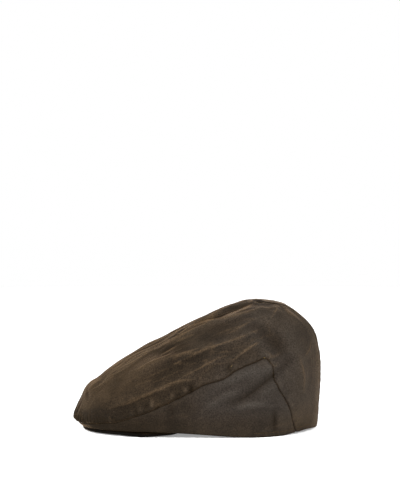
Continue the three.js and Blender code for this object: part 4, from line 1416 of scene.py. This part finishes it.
def hem_rows():
    """Lines round the back of the hem and along the rear of each side's."""
    rear = np.linspace(SIDE_END + REAR_HEM_GAP, 2 * LAST - SIDE_END - REAR_HEM_GAP, 400)
    rows = [on_cloth(rear, np.full(len(rear), REAR_HEM_UP), "top", HEM_LIFT)]
    left = np.linspace(*HEM_SEWN, 200)
    for turn, part in ((left, "left"), (2 * LAST - left, "right")):
        low = np.minimum(HEM_SEWN_UP / crown(turn, 0)[1], 0.5 * seam_share(turn, 0)[0])
        rows.append(on_cloth(turn, low, part, HEM_LIFT))
    return rows


def loose_rows():
    """A short line for each loose end of thread."""
    rows = []
    for turn, rise, proud in LOOSE_ENDS:
        turns = turn + np.linspace(0, 0.01, 4)
        rows.append(on_cloth(turns, seam_share(turns, rise)[0], "top", proud))
    return rows


class CAP_OT_stitches(bpy.types.Operator):
    """Sew the seams and the hem."""

    bl_idname = "cap.stitches"
    bl_label = "Stitches"

    def execute(self, context):
        settings = context.scene.cap_stitches
        thread = thread_material("sewing_thread", settings.thread)
        for name, rows, material in (
            ("side_seam_stitches", side_seam_rows(), thread),
            ("back_seam_stitches", back_seam_rows(), thread),
            ("hem_stitches", hem_rows(), thread_material("pale_thread", settings.pale)),
            ("loose_thread_ends", loose_rows(), thread_material("loose_thread", settings.loose)),
        ):
            piece = sew(name, rows, settings, material)
            dress(piece)
        return {"FINISHED"}


LEFT_LAMP_WAY, RIGHT_LAMP_WAY = (-1.3, -0.9, 1.0), (1.2, -0.9, 0.9)
REAR_LAMP_WAY = (0.2, 1.4, 0.6)
FLOOR_RADIUS = 1.9
LAMP_SIZE, LAMP_AWAY = 0.9, 1.9
DIM_FROM, DIM_TO = 0.18, 0.8  # sines of the heights between which the light dims to that overhead


def studio_light(node_tree, look):
    """An even white light from all round that is dimmer overhead."""
    tree = Tree(node_tree)
    background = node_tree.nodes["Background"]
    way = tree.node("ShaderNodeTexCoord", output=0)
    up = tree.node("ShaderNodeSeparateXYZ", None, {0: way}, output=2)
    strength = look.ambient + (look.overhead - look.ambient) * up.between(DIM_FROM, DIM_TO)
    node_tree.links.new(strength.socket, background.inputs["Strength"])
    background.inputs["Color"].default_value = (1, 1, 1, 1)


class CAP_OT_stage(bpy.types.Operator):
    """Make the floor, the light and the camera."""

    bl_idname = "cap.stage"
    bl_label = "Stage"

    def execute(self, context):
        look, scene = context.scene.cap_stage, context.scene
        bpy.ops.mesh.primitive_circle_add(vertices=96, radius=FLOOR_RADIUS, fill_type="NGON")
        floor = context.object
        floor.name = "floor"
        floor.data.materials.append(stage_material("floor_paper", look.floor, look.glow))
        world = bpy.data.worlds.new("studio")
        world.use_nodes = True
        studio_light(world.node_tree, look)
        scene.world = world
        for name, way, power in (
            ("left_lamp", LEFT_LAMP_WAY, look.left),
            ("right_lamp", RIGHT_LAMP_WAY, look.right),
            ("rear_lamp", REAR_LAMP_WAY, look.rear),
        ):
            lamp = bpy.data.lights.new(name, "AREA")
            lamp.shape, lamp.size, lamp.energy = "DISK", LAMP_SIZE, power
            light = bpy.data.objects.new(name, lamp)
            scene.collection.objects.link(light)
            light.location = Vector(way).normalized() * LAMP_AWAY
            light.rotation_euler = (-light.location).to_track_quat("-Z", "Y").to_euler()
        scene.camera = photo_camera(look)
        scene.view_settings.view_transform = "Standard"
        return {"FINISHED"}


PHOTO_WIDE, PHOTO_TALL = 400, 500
MILLIMETRES_PER_PIXEL = 1.105
MIDDLE_PIXEL = (197.0, 367.4)  # where the cap's middle, above its base's centre, shows in the picture


def photo_camera(look):
    """The camera, turned so that the cap's middle shows where the picture has it."""
    focal = look.away / MM / MILLIMETRES_PER_PIXEL
    data = bpy.data.cameras.new("camera")
    data.sensor_fit = "VERTICAL"
    data.sensor_height = 24.0
    data.lens = focal / PHOTO_TALL * data.sensor_height
    data.clip_end = 50.0
    body = bpy.data.objects.new("camera", data)
    bpy.context.scene.collection.objects.link(body)
    down = look.tilt - math.atan((MIDDLE_PIXEL[1] - PHOTO_TALL / 2) / focal)
    side = math.atan((MIDDLE_PIXEL[0] - PHOTO_WIDE / 2) / focal)
    middle = Vector((0, 0, VIEW_MIDDLE * MM))
    body.location = middle + look.away * Vector((0, -math.cos(look.tilt), math.sin(look.tilt)))
    ahead = Vector((math.sin(-side), math.cos(down) * math.cos(side), -math.sin(down)))
    body.rotation_euler = ahead.to_track_quat("-Z", "Y").to_euler()
    return body


class CAP_PT_panel(bpy.types.Panel):
    """The cap's settings and pieces."""

    bl_label = "Flat Cap"
    bl_idname = "CAP_PT_panel"
    bl_space_type = "VIEW_3D"
    bl_region_type = "UI"
    bl_category = "Flat Cap"

    def draw(self, context):
        layout = self.layout
        for settings in (context.scene.cap_cloth, context.scene.cap_stitches, context.scene.cap_stage):
            box = layout.box()
            for name in settings.bl_rna.properties.keys():
                if name not in ("rna_type", "name"):
                    box.prop(settings, name)
        for operator in OPERATORS:
            layout.operator(operator.bl_idname)


OPERATORS = (CAP_OT_stage, CAP_OT_top_panel, CAP_OT_side_panels, CAP_OT_peak, CAP_OT_stitches)
GROUPS = {"cap_cloth": ClothSettings, "cap_stitches": StitchSettings, "cap_stage": StageSettings}


def register():
    """Adds the settings, the operators and the panel to Blender."""
    for group in GROUPS.values():
        bpy.utils.register_class(group)
    for operator in OPERATORS:
        bpy.utils.register_class(operator)
    bpy.utils.register_class(CAP_PT_panel)
    for name, group in GROUPS.items():
        setattr(bpy.types.Scene, name, PointerProperty(type=group))


def unregister():
    """Takes them out again."""
    for name in GROUPS:
        delattr(bpy.types.Scene, name)
    for item in (CAP_PT_panel, *OPERATORS, *GROUPS.values()):
        bpy.utils.unregister_class(item)


def main():
    """Makes the stage and every piece."""
    register()
    bpy.ops.cap.stage()
    bpy.ops.cap.side_panels()
    bpy.ops.cap.top_panel()
    bpy.ops.cap.peak()
    bpy.ops.cap.stitches()


if __name__ == "__main__":
    main()
